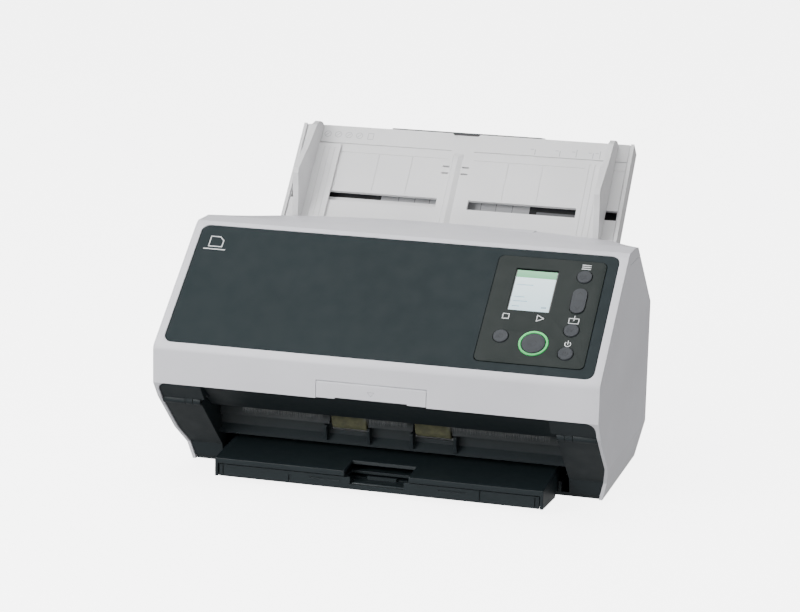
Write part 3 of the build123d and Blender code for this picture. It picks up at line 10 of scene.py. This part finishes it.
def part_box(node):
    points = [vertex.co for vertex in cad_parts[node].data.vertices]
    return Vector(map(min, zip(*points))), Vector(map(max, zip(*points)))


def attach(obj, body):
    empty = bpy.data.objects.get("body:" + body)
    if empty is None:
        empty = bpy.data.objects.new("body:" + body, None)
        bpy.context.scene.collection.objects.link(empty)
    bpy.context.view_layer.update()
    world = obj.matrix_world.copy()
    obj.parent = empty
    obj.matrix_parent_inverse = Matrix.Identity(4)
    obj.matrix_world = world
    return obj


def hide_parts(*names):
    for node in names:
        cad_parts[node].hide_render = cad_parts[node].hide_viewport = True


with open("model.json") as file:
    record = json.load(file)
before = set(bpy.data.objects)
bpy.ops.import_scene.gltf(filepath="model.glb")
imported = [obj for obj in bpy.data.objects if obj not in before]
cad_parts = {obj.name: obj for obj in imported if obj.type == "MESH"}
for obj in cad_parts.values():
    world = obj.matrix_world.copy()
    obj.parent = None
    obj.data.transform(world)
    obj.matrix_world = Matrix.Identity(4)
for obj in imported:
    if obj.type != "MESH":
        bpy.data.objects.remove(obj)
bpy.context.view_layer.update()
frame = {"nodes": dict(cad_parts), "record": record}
MM = 0.001
rng = random.Random(7)


# ---- places taken from the frame ----

def span(node):
    low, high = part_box(node)
    return Vector(low), Vector(high)


BODY_REAR = span("side_cover_right")[1].y
BODY_HALF_DEPTH = 85 * MM                     # half of the body's 170 mm depth
BODY_Y = BODY_REAR - BODY_HALF_DEPTH          # middle of the body, front to back
TILT = math.radians(39.7)                     # slope of the operator panel
CHUTE_SLOPE = math.radians(48.7)


class Face:
    """A flat working face: origin, X to the right, Y up the face, and its normal."""

    def __init__(self, origin, slope):
        self.origin = Vector(origin)
        self.x = Vector((1, 0, 0))
        self.y = Vector((0, math.cos(slope), math.sin(slope)))
        self.n = Vector((0, -math.sin(slope), math.cos(slope)))

    def at(self, x, y, n):
        """Point x across, y up the face and n above it, in millimetres."""
        return self.origin + (self.x * x + self.y * y + self.n * n) * MM


panel_low = span("dark_panel")[0]
PANEL = Face((0, panel_low.y, panel_low.z + 1.5 * MM * math.cos(TILT)), TILT)
chute_high = span("chute_plate")[1]
CHUTE = Face((0, chute_high.y - 12.5 * MM * math.sin(CHUTE_SLOPE),
              chute_high.z - 1.2 * MM * math.cos(CHUTE_SLOPE)), CHUTE_SLOPE)
BAND = Face((0, span("return_guide")[0].y, span("return_guide")[0].z), math.pi / 2)


# ---- materials ----

def linear(code):
    """Linear RGBA of an sRGB hex code."""
    values = [int(code[i:i + 2], 16) / 255 for i in (0, 2, 4)]
    return [v / 12.92 if v <= 0.04045 else ((v + 0.055) / 1.055) ** 2.4 for v in values] + [1.0]


def shade(colour, factor):
    return [min(1.0, c * factor) for c in colour[:3]] + [1.0]


def start_material(name):
    material = bpy.data.materials.new(name)
    material.use_nodes = True
    tree = material.node_tree
    tree.nodes.clear()
    output = tree.nodes.new("ShaderNodeOutputMaterial")
    shader = tree.nodes.new("ShaderNodeBsdfPrincipled")
    tree.links.new(shader.outputs[0], output.inputs[0])
    return material, tree, shader


def noise(tree, scale, detail=3.0, stretch=None):
    """Noise in object space; stretch scales its axes."""
    coords = tree.nodes.new("ShaderNodeTexCoord")
    texture = tree.nodes.new("ShaderNodeTexNoise")
    texture.inputs["Scale"].default_value = scale
    texture.inputs["Detail"].default_value = detail
    source = coords.outputs["Object"]
    if stretch:
        mapping = tree.nodes.new("ShaderNodeMapping")
        mapping.inputs["Scale"].default_value = stretch
        tree.links.new(source, mapping.inputs["Vector"])
        source = mapping.outputs[0]
    tree.links.new(source, texture.inputs["Vector"])
    return texture


def ramp(tree, source, low, high, start=0.35, end=0.65):
    node = tree.nodes.new("ShaderNodeValToRGB")
    node.color_ramp.elements[0].position = start
    node.color_ramp.elements[0].color = low
    node.color_ramp.elements[1].position = end
    node.color_ramp.elements[1].color = high
    tree.links.new(source, node.inputs["Fac"])
    return node


def remap(tree, source, low, high):
    node = tree.nodes.new("ShaderNodeMapRange")
    node.inputs["From Min"].default_value = 0.3
    node.inputs["From Max"].default_value = 0.7
    node.inputs["To Min"].default_value = low
    node.inputs["To Max"].default_value = high
    tree.links.new(source, node.inputs["Value"])
    return node


def add_bump(tree, shader, source, strength, distance):
    bump = tree.nodes.new("ShaderNodeBump")
    bump.inputs["Strength"].default_value = strength
    bump.inputs["Distance"].default_value = distance
    tree.links.new(source, bump.inputs["Height"])
    tree.links.new(bump.outputs[0], shader.inputs["Normal"])


FLOW_TINT = 0.035            # how far flow marks lighten and darken moulded plastic
GRAIN_STRENGTH = 0.35
STREAKS = (1, 60, 60)        # noise squeezed across X, so that brushed metal streaks along it


def plastic(name, code, rough=0.45, grain_mm=0.45, depth_mm=0.02, coat=0.0, specular=0.5):
    """Moulded plastic: spark-eroded grain, faint flow marks and uneven gloss."""
    material, tree, shader = start_material(name)
    base = linear(code)
    flow = noise(tree, 14.0, 4.0, (1.0, 0.6, 1.4))
    colour = ramp(tree, flow.outputs["Fac"], shade(base, 1 - FLOW_TINT), shade(base, 1 + FLOW_TINT))
    tree.links.new(colour.outputs[0], shader.inputs["Base Color"])
    grain = noise(tree, 1 / (grain_mm * MM), 2.0)
    gloss = noise(tree, 90.0, 3.0)
    tree.links.new(remap(tree, gloss.outputs["Fac"], rough - 0.05, rough + 0.05).outputs[0],
                   shader.inputs["Roughness"])
    add_bump(tree, shader, grain.outputs["Fac"], GRAIN_STRENGTH, depth_mm * MM)
    shader.inputs["Specular IOR Level"].default_value = specular
    shader.inputs["Coat Weight"].default_value = coat
    shader.inputs["Coat Roughness"].default_value = 0.12
    return material


def rubber(name, code, rough=0.75):
    """Ground rubber: fine matt grain with darker scuffs and lighter specks; on the bristles the lighter
    specks are painted glints.
    """
    material, tree, shader = start_material(name)
    base = linear(code)
    scuff_and_glint = noise(tree, 260.0, 6.0)
    colour = ramp(tree, scuff_and_glint.outputs["Fac"], shade(base, 0.72), shade(base, 1.15))
    tree.links.new(colour.outputs[0], shader.inputs["Base Color"])
    grain = noise(tree, 4200.0, 4.0)
    add_bump(tree, shader, grain.outputs["Fac"], 0.6, 0.04 * MM)
    tree.links.new(remap(tree, scuff_and_glint.outputs["Fac"], rough - 0.1, rough + 0.08).outputs[0],
                   shader.inputs["Roughness"])
    return material


def metal(name, code, rough=0.3):
    """Brushed or ground metal: streaks along X in gloss and height."""
    material, tree, shader = start_material(name)
    base = linear(code)
    streak = noise(tree, 180.0, 5.0, STREAKS)
    colour = ramp(tree, streak.outputs["Fac"], shade(base, 0.86), shade(base, 1.06))
    tree.links.new(colour.outputs[0], shader.inputs["Base Color"])
    tree.links.new(remap(tree, streak.outputs["Fac"], rough - 0.08, rough + 0.12).outputs[0],
                   shader.inputs["Roughness"])
    add_bump(tree, shader, streak.outputs["Fac"], 0.2, 0.01 * MM)
    shader.inputs["Metallic"].default_value = 1.0
    return material


def board(name):
    """Solder-masked board: copper pours show as slightly lighter tracks."""
    material, tree, shader = start_material(name)
    coords = tree.nodes.new("ShaderNodeTexCoord")
    tracks = tree.nodes.new("ShaderNodeTexVoronoi")
    tracks.feature = "DISTANCE_TO_EDGE"
    tracks.inputs["Scale"].default_value = 160.0
    tree.links.new(coords.outputs["Object"], tracks.inputs["Vector"])
    colour = ramp(tree, tracks.outputs["Distance"], linear("1d6b3c"), linear("0d4426"), 0.03, 0.07)
    tree.links.new(colour.outputs[0], shader.inputs["Base Color"])
    add_bump(tree, shader, tracks.outputs["Distance"], 0.3, 0.03 * MM)
    shader.inputs["Roughness"].default_value = 0.35
    return material


def glass(name):
    material, tree, shader = start_material(name)
    haze = noise(tree, 60.0, 3.0)
    tree.links.new(remap(tree, haze.outputs["Fac"], 0.02, 0.06).outputs[0],
                   shader.inputs["Roughness"])
    shader.inputs["Base Color"].default_value = linear("d8e6e4")
    shader.inputs["Transmission Weight"].default_value = 0.85
    shader.inputs["IOR"].default_value = 1.5
    return material


def lit(name, low, high, strength):
    """Back-lit surface: a slow gradient from bottom to top and a fine, uneven gloss."""
    material, tree, shader = start_material(name)
    coords = tree.nodes.new("ShaderNodeTexCoord")
    split = tree.nodes.new("ShaderNodeSeparateXYZ")
    tree.links.new(coords.outputs["Generated"], split.inputs[0])
    colour = ramp(tree, split.outputs["Z"], linear(low), linear(high), 0.0, 1.0)
    tree.links.new(colour.outputs[0], shader.inputs["Base Color"])
    tree.links.new(colour.outputs[0], shader.inputs["Emission Color"])
    shader.inputs["Emission Strength"].default_value = strength
    grid = noise(tree, 6000.0, 0.0)
    tree.links.new(remap(tree, grid.outputs["Fac"], 0.18, 0.26).outputs[0],
                   shader.inputs["Roughness"])
    return material


MATERIALS = {
    "white_shell": plastic("shell grey", "dbdbe1", 0.42, specular=0.35),
    "dark_shell": plastic("panel dark", "182326", 0.5, 0.4, 0.015, specular=0.18),
    "mouth_plastic": plastic("mouth dark", "1f2629", 0.5, specular=0.3),
    "tray_plastic": plastic("tray dark", "1d2528", 0.42, 0.5, 0.025, specular=0.3),
    "operator_plastic": plastic("operator dark", "17201e", 0.4, 0.25, 0.008, specular=0.2),
    "button_plastic": plastic("button grey", "3b3e42", 0.45, 0.3, 0.01, specular=0.22),
    "chute_plastic": plastic("chute grey", "dededf", 0.42, 0.4, 0.015, specular=0.35),
    "pulley_plastic": plastic("acetal white", "d8d6cc", 0.35, 0.3, 0.01),
    "bush_plastic": plastic("acetal cream", "dcd8c4", 0.35, 0.3, 0.01),
    "scan_housing": plastic("scan housing", "101112", 0.5, specular=0.2),
    "display_glass": plastic("display black", "0c0e0f", 0.12, 0.2, 0.002, coat=1.0),
    "ring_plastic": lit("ring green", "2e9a50", "46c86c", 0.3),
    "roller_rubber": rubber("roller rubber", "4b4e52"),
    "eject_rubber": rubber("eject rubber", "55563f"),
    "foot_rubber": rubber("foot rubber", "121212"),
    "belt_rubber": rubber("belt rubber", "101010"),
    # Painted highlight: the bristle colour is lightened, and its lighter specks stand in for glints on the
    # bristles.
    "brush_bristle": rubber("bristle", "5a5d5e", 0.4),
    "sheet_steel": metal("zinc sheet", "b4b6b8", 0.38),
    "shaft_steel": metal("ground shaft", "c4c6c8", 0.2),
    "motor_metal": metal("motor can", "9c9ea0", 0.35),
    "port_metal": metal("tinned shell", "c0c0be", 0.28),
    "board_green": board("circuit board"),
    "scan_glass": glass("scan glass"),
}
INK_WHITE = plastic("ink white", "d9dcdd", 0.5, 0.2, 0.004)
INK_CAP = plastic("ink cap", "23262a", 0.55, 0.2, 0.004)
INK_GREY = plastic("ink grey", "a7a8ac", 0.55, 0.2, 0.004)
SCREEN = lit("screen pale", "b9d2da", "d4e6ea", 0.75)
SCREEN_HEAD = lit("screen head", "5fae7c", "7cc095", 0.35)
SCREEN_LINE = lit("screen line", "8fa9b4", "9fb8c2", 0.5)
CONTACT_GOLD = metal("contact gold", "c9a24a", 0.25)
# Painted shade: these greys stand in for the shade inside the guide slots and along the extension's handle.
PAINTED_SHADE_GREY = plastic("painted shade grey", "b4b5b8", 0.5, 0.3, 0.01)
PAINTED_SHADE_MID = plastic("painted shade mid", "77787a", 0.5, 0.3, 0.01)
PAINTED_SHADE_DARK = plastic("painted shade dark", "2b2c2e", 0.5, 0.3, 0.01)


# ---- CAD nodes: material and softened edges ----

EDGE_MM = {
    "top_cover": 0.8, "side_cover_left": 0.8, "side_cover_right": 0.8, "rear_cover": 0.6,
    "dark_panel": 0.35, "operator_panel": 0.3, "return_guide": 0.5, "release_lever": 0.4,
    "chute_plate": 0.4, "chute_extension": 0.4, "guide_left": 0.5, "guide_right": 0.5,
    "stacker_tray": 0.45, "stacker_extension_1": 0.3, "stacker_extension_2": 0.3,
    "stacker_stopper": 0.3, "mouth_frame": 0.35, "upper_guide": 0.35, "lower_guide": 0.3,
    "button_rocker": 0.7, "scan_ring": 0.35, "bottom_plate": 0.4, "chute_back": 0.4,
}
for button in ("menu", "manual_feed", "power", "scan", "stop"):
    EDGE_MM["button_" + button] = 0.6


def finish_node(name, obj, slot):
    """Give a CAD node its material and rounded edges."""
    obj.data.materials.clear()
    obj.data.materials.append(MATERIALS[slot])
    if name not in EDGE_MM:
        return
    weld = obj.modifiers.new("weld", "WELD")
    weld.merge_threshold = 0.002 * MM
    planar = obj.modifiers.new("planar", "DECIMATE")
    planar.decimate_type = "DISSOLVE"
    planar.angle_limit = math.radians(0.6)
    bevel = obj.modifiers.new("bevel", "BEVEL")
    bevel.width = EDGE_MM[name] * MM
    bevel.segments = 3
    bevel.limit_method = "ANGLE"
    bevel.angle_limit = math.radians(32)
    bevel.use_clamp_overlap = True
    bevel.harden_normals = True


for subpart in frame["record"]["subparts"]:
    finish_node(subpart["node"], frame["nodes"][subpart["node"]], subpart["material_slot"])


# ---- building pieces ----

def new_piece(name, mesh, material, body):
    obj = bpy.data.objects.new(name, mesh)
    bpy.context.scene.collection.objects.link(obj)
    mesh.materials.append(material)
    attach(obj, body)
    return obj


def plates(name, face, outlines, n0, n1, material, body):
    """Flat outlines on a face, each extruded from n0 to n1, as one piece."""
    bm = bmesh.new()
    for outline in outlines:
        low = [bm.verts.new(face.at(x, y, n0)) for x, y in outline]
        high = [bm.verts.new(face.at(x, y, n1)) for x, y in outline]
        bm.faces.new(high)
        bm.faces.new(low[::-1])
        for i in range(len(outline)):
            j = (i + 1) % len(outline)
            bm.faces.new((low[i], low[j], high[j], high[i]))
    bmesh.ops.recalc_face_normals(bm, faces=bm.faces)
    mesh = bpy.data.meshes.new(name)
    bm.to_mesh(mesh)
    bm.free()
    return new_piece(name, mesh, material, body)


def rectangle(x0, x1, y0, y1):
    return [(x0, y0), (x1, y0), (x1, y1), (x0, y1)]


def arc_band(cx, cy, radius, width, start, end, steps=20):
    """Quads that follow an arc, in degrees."""
    quads = []
    for i in range(steps):
        a0 = math.radians(start + (end - start) * i / steps)
        a1 = math.radians(start + (end - start) * (i + 1) / steps)
        r0 = radius - width / 2
        r1 = radius + width / 2
        corners = ((r0, a0), (r1, a0), (r1, a1), (r0, a1))
        quads.append([(cx + r * math.cos(a), cy + r * math.sin(a)) for r, a in corners])
    return quads


def stroke(points, width, closed=False):
    """Quads along a polyline."""
    quads = []
    count = len(points) if closed else len(points) - 1
    for i in range(count):
        a = Vector(points[i])
        b = Vector(points[(i + 1) % len(points)])
        along = (b - a).normalized() * width / 2
        side = Vector((-along.y, along.x))
        a = a - along
        b = b + along
        quads.append([tuple(a - side), tuple(b - side), tuple(b + side), tuple(a + side)])
    return quads


# ---- display ----

LCD = (78.2, 106.7, 49.6, 84.3)
lcd_x0, lcd_x1, lcd_y0, lcd_y1 = LCD
HEADER = 5.8
SCREEN_N = -0.8


def build_display():
    edge = 0.9
    plates("screen_field", PANEL,
           [rectangle(lcd_x0 + edge, lcd_x1 - edge, lcd_y0 + edge, lcd_y1 - edge)],
           SCREEN_N, SCREEN_N + 0.04, SCREEN, "top_section")
    plates("screen_header", PANEL,
           [rectangle(lcd_x0 + edge, lcd_x1 - edge, lcd_y1 - edge - HEADER, lcd_y1 - edge)],
           SCREEN_N + 0.04, SCREEN_N + 0.07, SCREEN_HEAD, "top_section")
    lines = []
    for y, length in ((71.5, 11.0), (61.5, 7.0), (58.0, 9.5), (53.8, 5.0)):
        lines.append(rectangle(lcd_x0 + 2.6, lcd_x0 + 2.6 + length, y - 0.35, y + 0.35))
    lines.append(rectangle(lcd_x1 - 6.5, lcd_x1 - 3.0, 53.2, 54.6))
    plates("screen_lines", PANEL, lines, SCREEN_N + 0.04, SCREEN_N + 0.07, SCREEN_LINE, "top_section")


build_display()


# ---- pictograms in place of lettering ----

OP_FACE = 0.25        # operator panel above the dark panel
CAP_FACE = 0.86       # button caps above the dark panel
INK = 0.03
BUTTON_CENTRES = {"button_menu": (124.2, 80.9), "button_manual_feed": (123.7, 36.8),
                  "button_power": (123.4, 18.1), "button_stop": (79.0, 27.7)}


def build_labels():
    """One plain sign beside each control and one on the panel, drawn in white ink."""
    menu = [rectangle(121.0, 127.0, y - 0.35, y + 0.35) for y in (87.6, 89.2, 90.8)]
    feed = stroke([(120.6, 42.6), (127.0, 42.6), (127.0, 46.6), (120.6, 46.6)], 0.55, True)
    feed += stroke([(123.8, 48.6), (123.8, 45.0)], 0.55)
    power = arc_band(123.4, 25.9, 1.9, 0.55, 125, 415) + stroke([(123.4, 25.9), (123.4, 28.4)], 0.55)
    stop = stroke([(77.0, 42.2), (81.0, 42.2), (81.0, 46.2), (77.0, 46.2)], 0.6, True)
    scan = stroke([(99.6, 42.0), (104.0, 44.5), (99.6, 47.0)], 0.6, True)
    plates("control_signs", PANEL, menu + feed + power + stop + scan, OP_FACE, OP_FACE + INK, INK_WHITE,
           "top_section")
    page = stroke([(-136, 82), (-136, 90.5), (-129.5, 90.5), (-126.5, 87.5), (-126.5, 82)], 0.7, True)
    page += [rectangle(-139, -123.5, 79.2, 80.0)]
    plates("front_sign", PANEL, page, 0.0, INK, INK_WHITE, "top_section")


def cap_sign(name, x, y):
    """Outlines of the small sign in the middle of a button's cap."""
    if name == "button_menu":
        return [rectangle(x - 1.6, x + 1.6, y + d - 0.2, y + d + 0.2) for d in (-1.2, 0, 1.2)]
    if name == "button_manual_feed":
        return stroke([(x - 1.4, y + 1), (x, y - 1), (x + 1.4, y + 1)], 0.4)
    if name == "button_power":
        return arc_band(x, y, 1.5, 0.4, 125, 415) + stroke([(x, y + 0.3), (x, y + 1.9)], 0.4)
    square = [(x - 1.2, y - 1.2), (x + 1.2, y - 1.2), (x + 1.2, y + 1.2), (x - 1.2, y + 1.2)]
    return stroke(square, 0.4, True)


def build_button_marks():
    """Small signs on the button caps; they ride on the buttons."""
    for name, (x, y) in BUTTON_CENTRES.items():
        plates(name + "_sign", PANEL, cap_sign(name, x, y), CAP_FACE - 0.1, CAP_FACE + INK, INK_CAP,
               name)
    plates("scan_sign", PANEL,
           stroke([(101.3, 21.2), (104.1, 24.0), (101.3, 26.8), (98.5, 24.0)], 0.5, True),
           0.7, 0.86, INK_CAP, "button_scan")
    arrows = stroke([(122.2, 65.6), (124.0, 67.6), (125.8, 65.6)], 0.5)
    arrows += stroke([(122.2, 56.0), (124.0, 54.0), (125.8, 56.0)], 0.5)
    arrows += [rectangle(120.2, 127.8, 60.68, 60.92)]
    plates("rocker_signs", PANEL, arrows, 1.1, 1.1 + INK, INK_CAP, "button_rocker")


build_labels()
build_button_marks()


# ---- band: printed mark on the return guide ----

def build_tab_mark():
    triangle = stroke([(-2.2, 6.4), (2.2, 6.4), (0, 3.6)], 0.35, True)
    plates("return_guide_mark", BAND, triangle, -0.02, 0.0, INK_GREY, "return_guide")


build_tab_mark()


# ---- chute: size ticks and faint signs ----

def build_chute_marks():
    ticks = []
    for x, length in ((52.0, 4.5), (70.0, 4.5), (82.0, 6.5), (94.0, 4.5), (99.0, 6.5)):
        ticks.append(rectangle(x, x + 0.5, -13.5, -13.5 + length))
        ticks.append(rectangle(x - 3.2, x - 0.9, -9.2, -8.8))
    signs = []
    for x in (-103.0, -95.0, -87.0, -79.0):
        signs += arc_band(x, -7.5, 2.4, 0.35, 0, 360, 16)
        signs += stroke([(x - 1.2, -8.6), (x + 1.2, -6.4)], 0.35)
    signs += stroke([(-72.5, -10), (-72.5, -5), (-68.5, -5), (-68.5, -10)], 0.35, True)
    plates("chute_marks", CHUTE, ticks + signs, 0.0, 0.03, INK_GREY, "base")


build_chute_marks()


SLOT_Y = (-64, -47)          # lower and upper edge of the guide slots, up the chute
SLOT_BACK = -8.62
# face of the dark sheets that paint shade into the guide slots
SHADE_SHEET_FACE = -8.42


def build_chute_painted_shade():
    """Painted shade: grey and dark strips seen through the guide slots stand in for the shade inside the
    chute, and a dark strip along the extension's handle stands in for the shaded gap at its top edge.
    """
    middle = [rectangle(-54.7, 54.7, *SLOT_Y)]
    plates("slot_painted_shade_middle", CHUTE, middle, SLOT_BACK, SHADE_SHEET_FACE, PAINTED_SHADE_GREY, "base")
    dark = [rectangle(-119.2, -54.7, *SLOT_Y), rectangle(54.7, 119.2, *SLOT_Y)]
    plates("slot_painted_shade_ends", CHUTE, dark, SLOT_BACK, SHADE_SHEET_FACE, PAINTED_SHADE_DARK, "base")
    bars = [rectangle(-118, -60, -58.4, -55.6), rectangle(60, 104, -58.4, -55.6)]
    plates("slot_painted_shade_bars", CHUTE, bars, SHADE_SHEET_FACE, -8.3, PAINTED_SHADE_MID, "base")
    ribs = [rectangle(x, x + 0.5, *SLOT_Y) for x in (-42, -30, -19, 19, 30, 42)]
    plates("slot_painted_shade_ribs", CHUTE, ribs, SHADE_SHEET_FACE, -8.34, PAINTED_SHADE_MID, "base")
    # Painted shade: a dark strip on the extension's handle stands in for the shaded gap along the chute
    # plate's top edge.
    painted_shade_strip = [rectangle(-56.2, 55, 0.2, 2.7)]
    plates("extension_painted_shade_strip", CHUTE, painted_shade_strip, -2.9, -2.75, PAINTED_SHADE_DARK, "chute_extension")


build_chute_painted_shade()


# ---- bristles of the static brushes ----

def build_bristles():
    """Fine bristles in clumps, hanging from a holder in the exit lip."""
    low, high = span("static_brushes")
    mid = (low.y + high.y) / 2
    top = high.z
    spans = ((-99, -43), (-15, 15), (43, 112))
    bm = bmesh.new()
    for x0, x1 in spans:
        count = int((x1 - x0) / 0.32)
        for i in range(count):
            x = (x0 + (x1 - x0) * (i + rng.random()) / count) * MM
            lean = rng.uniform(-0.5, 0.5) * MM
            reach = rng.uniform(0.72, 1.0) * (top - low.z)
            y = mid + rng.uniform(-0.35, 0.35) * MM
            width = 0.09 * MM
            corners = ((x - width, y - width), (x + width, y - width), (x, y + width))
            root = [bm.verts.new((cx, cy, top - 0.1 * MM)) for cx, cy in corners]
            tip = bm.verts.new((x + lean, y, top - reach))
            bm.faces.new(root[::-1])
            for a in range(3):
                bm.faces.new((root[a], root[(a + 1) % 3], tip))
    bmesh.ops.recalc_face_normals(bm, faces=bm.faces)
    mesh = bpy.data.meshes.new("bristles")
    bm.to_mesh(mesh)
    bm.free()
    obj = new_piece("bristles", mesh, MATERIALS["brush_bristle"], "top_section")
    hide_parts("static_brushes")


build_bristles()


# ---- rollers with ground ribs ----

# How a sleeve's end is softened: inset from its end, drop below its top.
SLEEVE_END = ((0.0, 0.9), (0.25, 0.3), (0.8, 0.0))


def ribbed_rollers(name, node, spans, ribs, depth, material, body, bore):
    """Sleeves with fine ribs along their length and softened ends."""
    low, high = span(node)
    cy = (low.y + high.y) / 2
    cz = (low.z + high.z) / 2
    top = (high.z - low.z) / 2 / MM
    bm = bmesh.new()
    steps = ribs * 4
    for x0, x1 in spans:
        stations = [(x0, bore)] + [(x0 + inset, top - drop) for inset, drop in SLEEVE_END]
        stations += [(x1 - inset, top - drop) for inset, drop in reversed(SLEEVE_END)] + [(x1, bore)]
        rings = []
        for x, r in stations:
            ring = []
            for i in range(steps):
                dip = depth if i % 4 in (2, 3) and r > top - 0.5 else 0.0
                angle = 2 * math.pi * i / steps
                ring.append(bm.verts.new((x * MM, cy + (r - dip) * MM * math.cos(angle),
                                          cz + (r - dip) * MM * math.sin(angle))))
            rings.append(ring)
        rings.append(rings[0])
        for a, b in zip(rings[:-1], rings[1:]):
            for i in range(steps):
                j = (i + 1) % steps
                bm.faces.new((a[i], a[j], b[j], b[i]))
    bmesh.ops.recalc_face_normals(bm, faces=bm.faces)
    mesh = bpy.data.meshes.new(name)
    bm.to_mesh(mesh)
    bm.free()
    obj = new_piece(name, mesh, material, body)
    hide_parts(node)
    return obj


ribbed_rollers("ribbed_eject_rollers", "eject_rollers", ((-41.25, -16.75), (16.75, 41.25)), 56, 0.18,
               MATERIALS["eject_rubber"], "eject_drive", 3.0)
ribbed_rollers("ribbed_pick_rollers", "pick_rollers", ((-32, -7), (7, 32)), 40, 0.5,
               MATERIALS["roller_rubber"], "pick_drive", 3.0)
ribbed_rollers("ribbed_feed_rollers", "feed_rollers", ((-84, -66), (-38, -20), (20, 38), (66, 84)), 44, 0.2,
               MATERIALS["roller_rubber"], "feed_drive", 3.0)


# ---- rear: socket contacts ----

def rear_plates(name, outlines, y_back, y_front, material):
    """Outlines in the rear view's X and Z, between two depths inside the rear face."""
    face = Face((0, BODY_REAR, 0), math.pi / 2)
    face.n = Vector((0, -1, 0))
    return plates(name, face, outlines, y_front, y_back, material, "base")


def build_rear():
    low, high = span("lan_port")
    contacts = []
    for i in range(8):
        x = low.x / MM + 4.2 + 1.15 * i
        contacts.append(rectangle(x, x + 0.6, high.z / MM - 3.1, high.z / MM - 2.7))
    rear_plates("network_contacts", contacts, 7.4, 1.2, CONTACT_GOLD)


build_rear()


# ---- stage, light and camera ----

FLOOR_HALF = 12.0
WALL_HEIGHT = 9.0
FLOOR_GLOW = 5.0
SKY_LOW = 0.5
SKY_SIDE = 0.36
SKY_TOP = 0.6


def build_stage():
    """Pale floor with a far wall round it; it takes shadows but throws no light at the object."""
    corners = [(-FLOOR_HALF, -FLOOR_HALF), (FLOOR_HALF, -FLOOR_HALF),
               (FLOOR_HALF, FLOOR_HALF), (-FLOOR_HALF, FLOOR_HALF)]
    points = [(x, y, 0) for x, y in corners] + [(x, y, WALL_HEIGHT) for x, y in corners]
    sides = [(i, (i + 1) % 4, (i + 1) % 4 + 4, i + 4) for i in range(4)]
    mesh = bpy.data.meshes.new("floor")
    mesh.from_pydata(points, [], [(0, 1, 2, 3)] + sides)
    floor = bpy.data.objects.new("floor", mesh)
    bpy.context.scene.collection.objects.link(floor)
    material, _, shader = start_material("pale floor")
    shader.inputs["Base Color"].default_value = (0.9, 0.9, 0.9, 1)
    shader.inputs["Roughness"].default_value = 0.8
    shader.inputs["Specular IOR Level"].default_value = 0.1
    shader.inputs["Emission Color"].default_value = (1, 1, 1, 1)
    shader.inputs["Emission Strength"].default_value = FLOOR_GLOW
    mesh.materials.append(material)
    floor.location.z = -0.0002
    floor.visible_diffuse = False
    floor.visible_glossy = False
    floor.visible_shadow = False


def build_world():
    """Soft room: brightest overhead, dimmer at the height of the object, pale below."""
    world = bpy.data.worlds.new("studio")
    bpy.context.scene.world = world
    world.use_nodes = True
    tree = world.node_tree
    back = tree.nodes["Background"]
    coords = tree.nodes.new("ShaderNodeTexCoord")
    split = tree.nodes.new("ShaderNodeSeparateXYZ")
    tree.links.new(coords.outputs["Generated"], split.inputs[0])
    height = tree.nodes.new("ShaderNodeValToRGB")
    height.color_ramp.elements[0].position = 0.35
    height.color_ramp.elements[0].color = (SKY_LOW, SKY_LOW, SKY_LOW, 1)
    height.color_ramp.elements[1].position = 1.0
    height.color_ramp.elements[1].color = (SKY_TOP, SKY_TOP, SKY_TOP, 1)
    middle = height.color_ramp.elements.new(0.5)
    middle.color = (SKY_SIDE, SKY_SIDE, SKY_SIDE, 1)
    lift = tree.nodes.new("ShaderNodeMapRange")
    lift.inputs["From Min"].default_value = -1.0
    tree.links.new(split.outputs["Z"], lift.inputs["Value"])
    tree.links.new(lift.outputs[0], height.inputs["Fac"])
    tree.links.new(height.outputs[0], back.inputs["Color"])
    back.inputs["Strength"].default_value = 1.0


def area_light(name, place, target, size, power):
    data = bpy.data.lights.new(name, "AREA")
    data.shape = "RECTANGLE"
    data.size = size[0]
    data.size_y = size[1]
    data.energy = power
    light = bpy.data.objects.new(name, data)
    light.location = place
    light.rotation_euler = (Vector(target) - Vector(place)).to_track_quat("-Z", "Y").to_euler()
    bpy.context.scene.collection.objects.link(light)
    return light


def build_lights():
    aim = (0, BODY_Y, 0.08)
    area_light("key", (-0.85, -1.25, 0.75), aim, (0.7, 0.7), 22)
    area_light("top", (-0.3, -0.4, 1.9), aim, (1.8, 1.4), 26)
    area_light("fill", (1.9, -0.9, 0.7), aim, (1.2, 1.2), 7)
    area_light("low", (-0.25, -1.5, 0.12), (0, BODY_Y - BODY_HALF_DEPTH, 0.04), (1.4, 0.2), 5)


CAMERA_PLACE = (0.44797, -1.61840, 0.50168)     # from the middle of the body
CAMERA_AZIMUTH = math.radians(15.65)
CAMERA_ELEVATION = math.radians(12.97)
CAMERA_ROLL = math.radians(1.30)


def build_camera():
    az = CAMERA_AZIMUTH
    el = CAMERA_ELEVATION
    right = Vector((math.cos(az), math.sin(az), 0))
    back = Vector((math.sin(az) * math.cos(el), -math.cos(az) * math.cos(el), math.sin(el)))
    up = back.cross(right)
    rolled_right = right * math.cos(CAMERA_ROLL) + up * math.sin(CAMERA_ROLL)
    rolled_up = up * math.cos(CAMERA_ROLL) - right * math.sin(CAMERA_ROLL)
    data = bpy.data.cameras.new("camera")
    data.sensor_width = 36
    data.lens = 115.24
    camera = bpy.data.objects.new("camera", data)
    matrix = Matrix((rolled_right, rolled_up, back)).transposed().to_4x4()
    matrix.translation = Vector(CAMERA_PLACE) + Vector((0, BODY_Y, 0))
    camera.matrix_world = matrix
    bpy.context.scene.collection.objects.link(camera)
    bpy.context.scene.camera = camera


build_stage()
build_world()
build_lights()
build_camera()
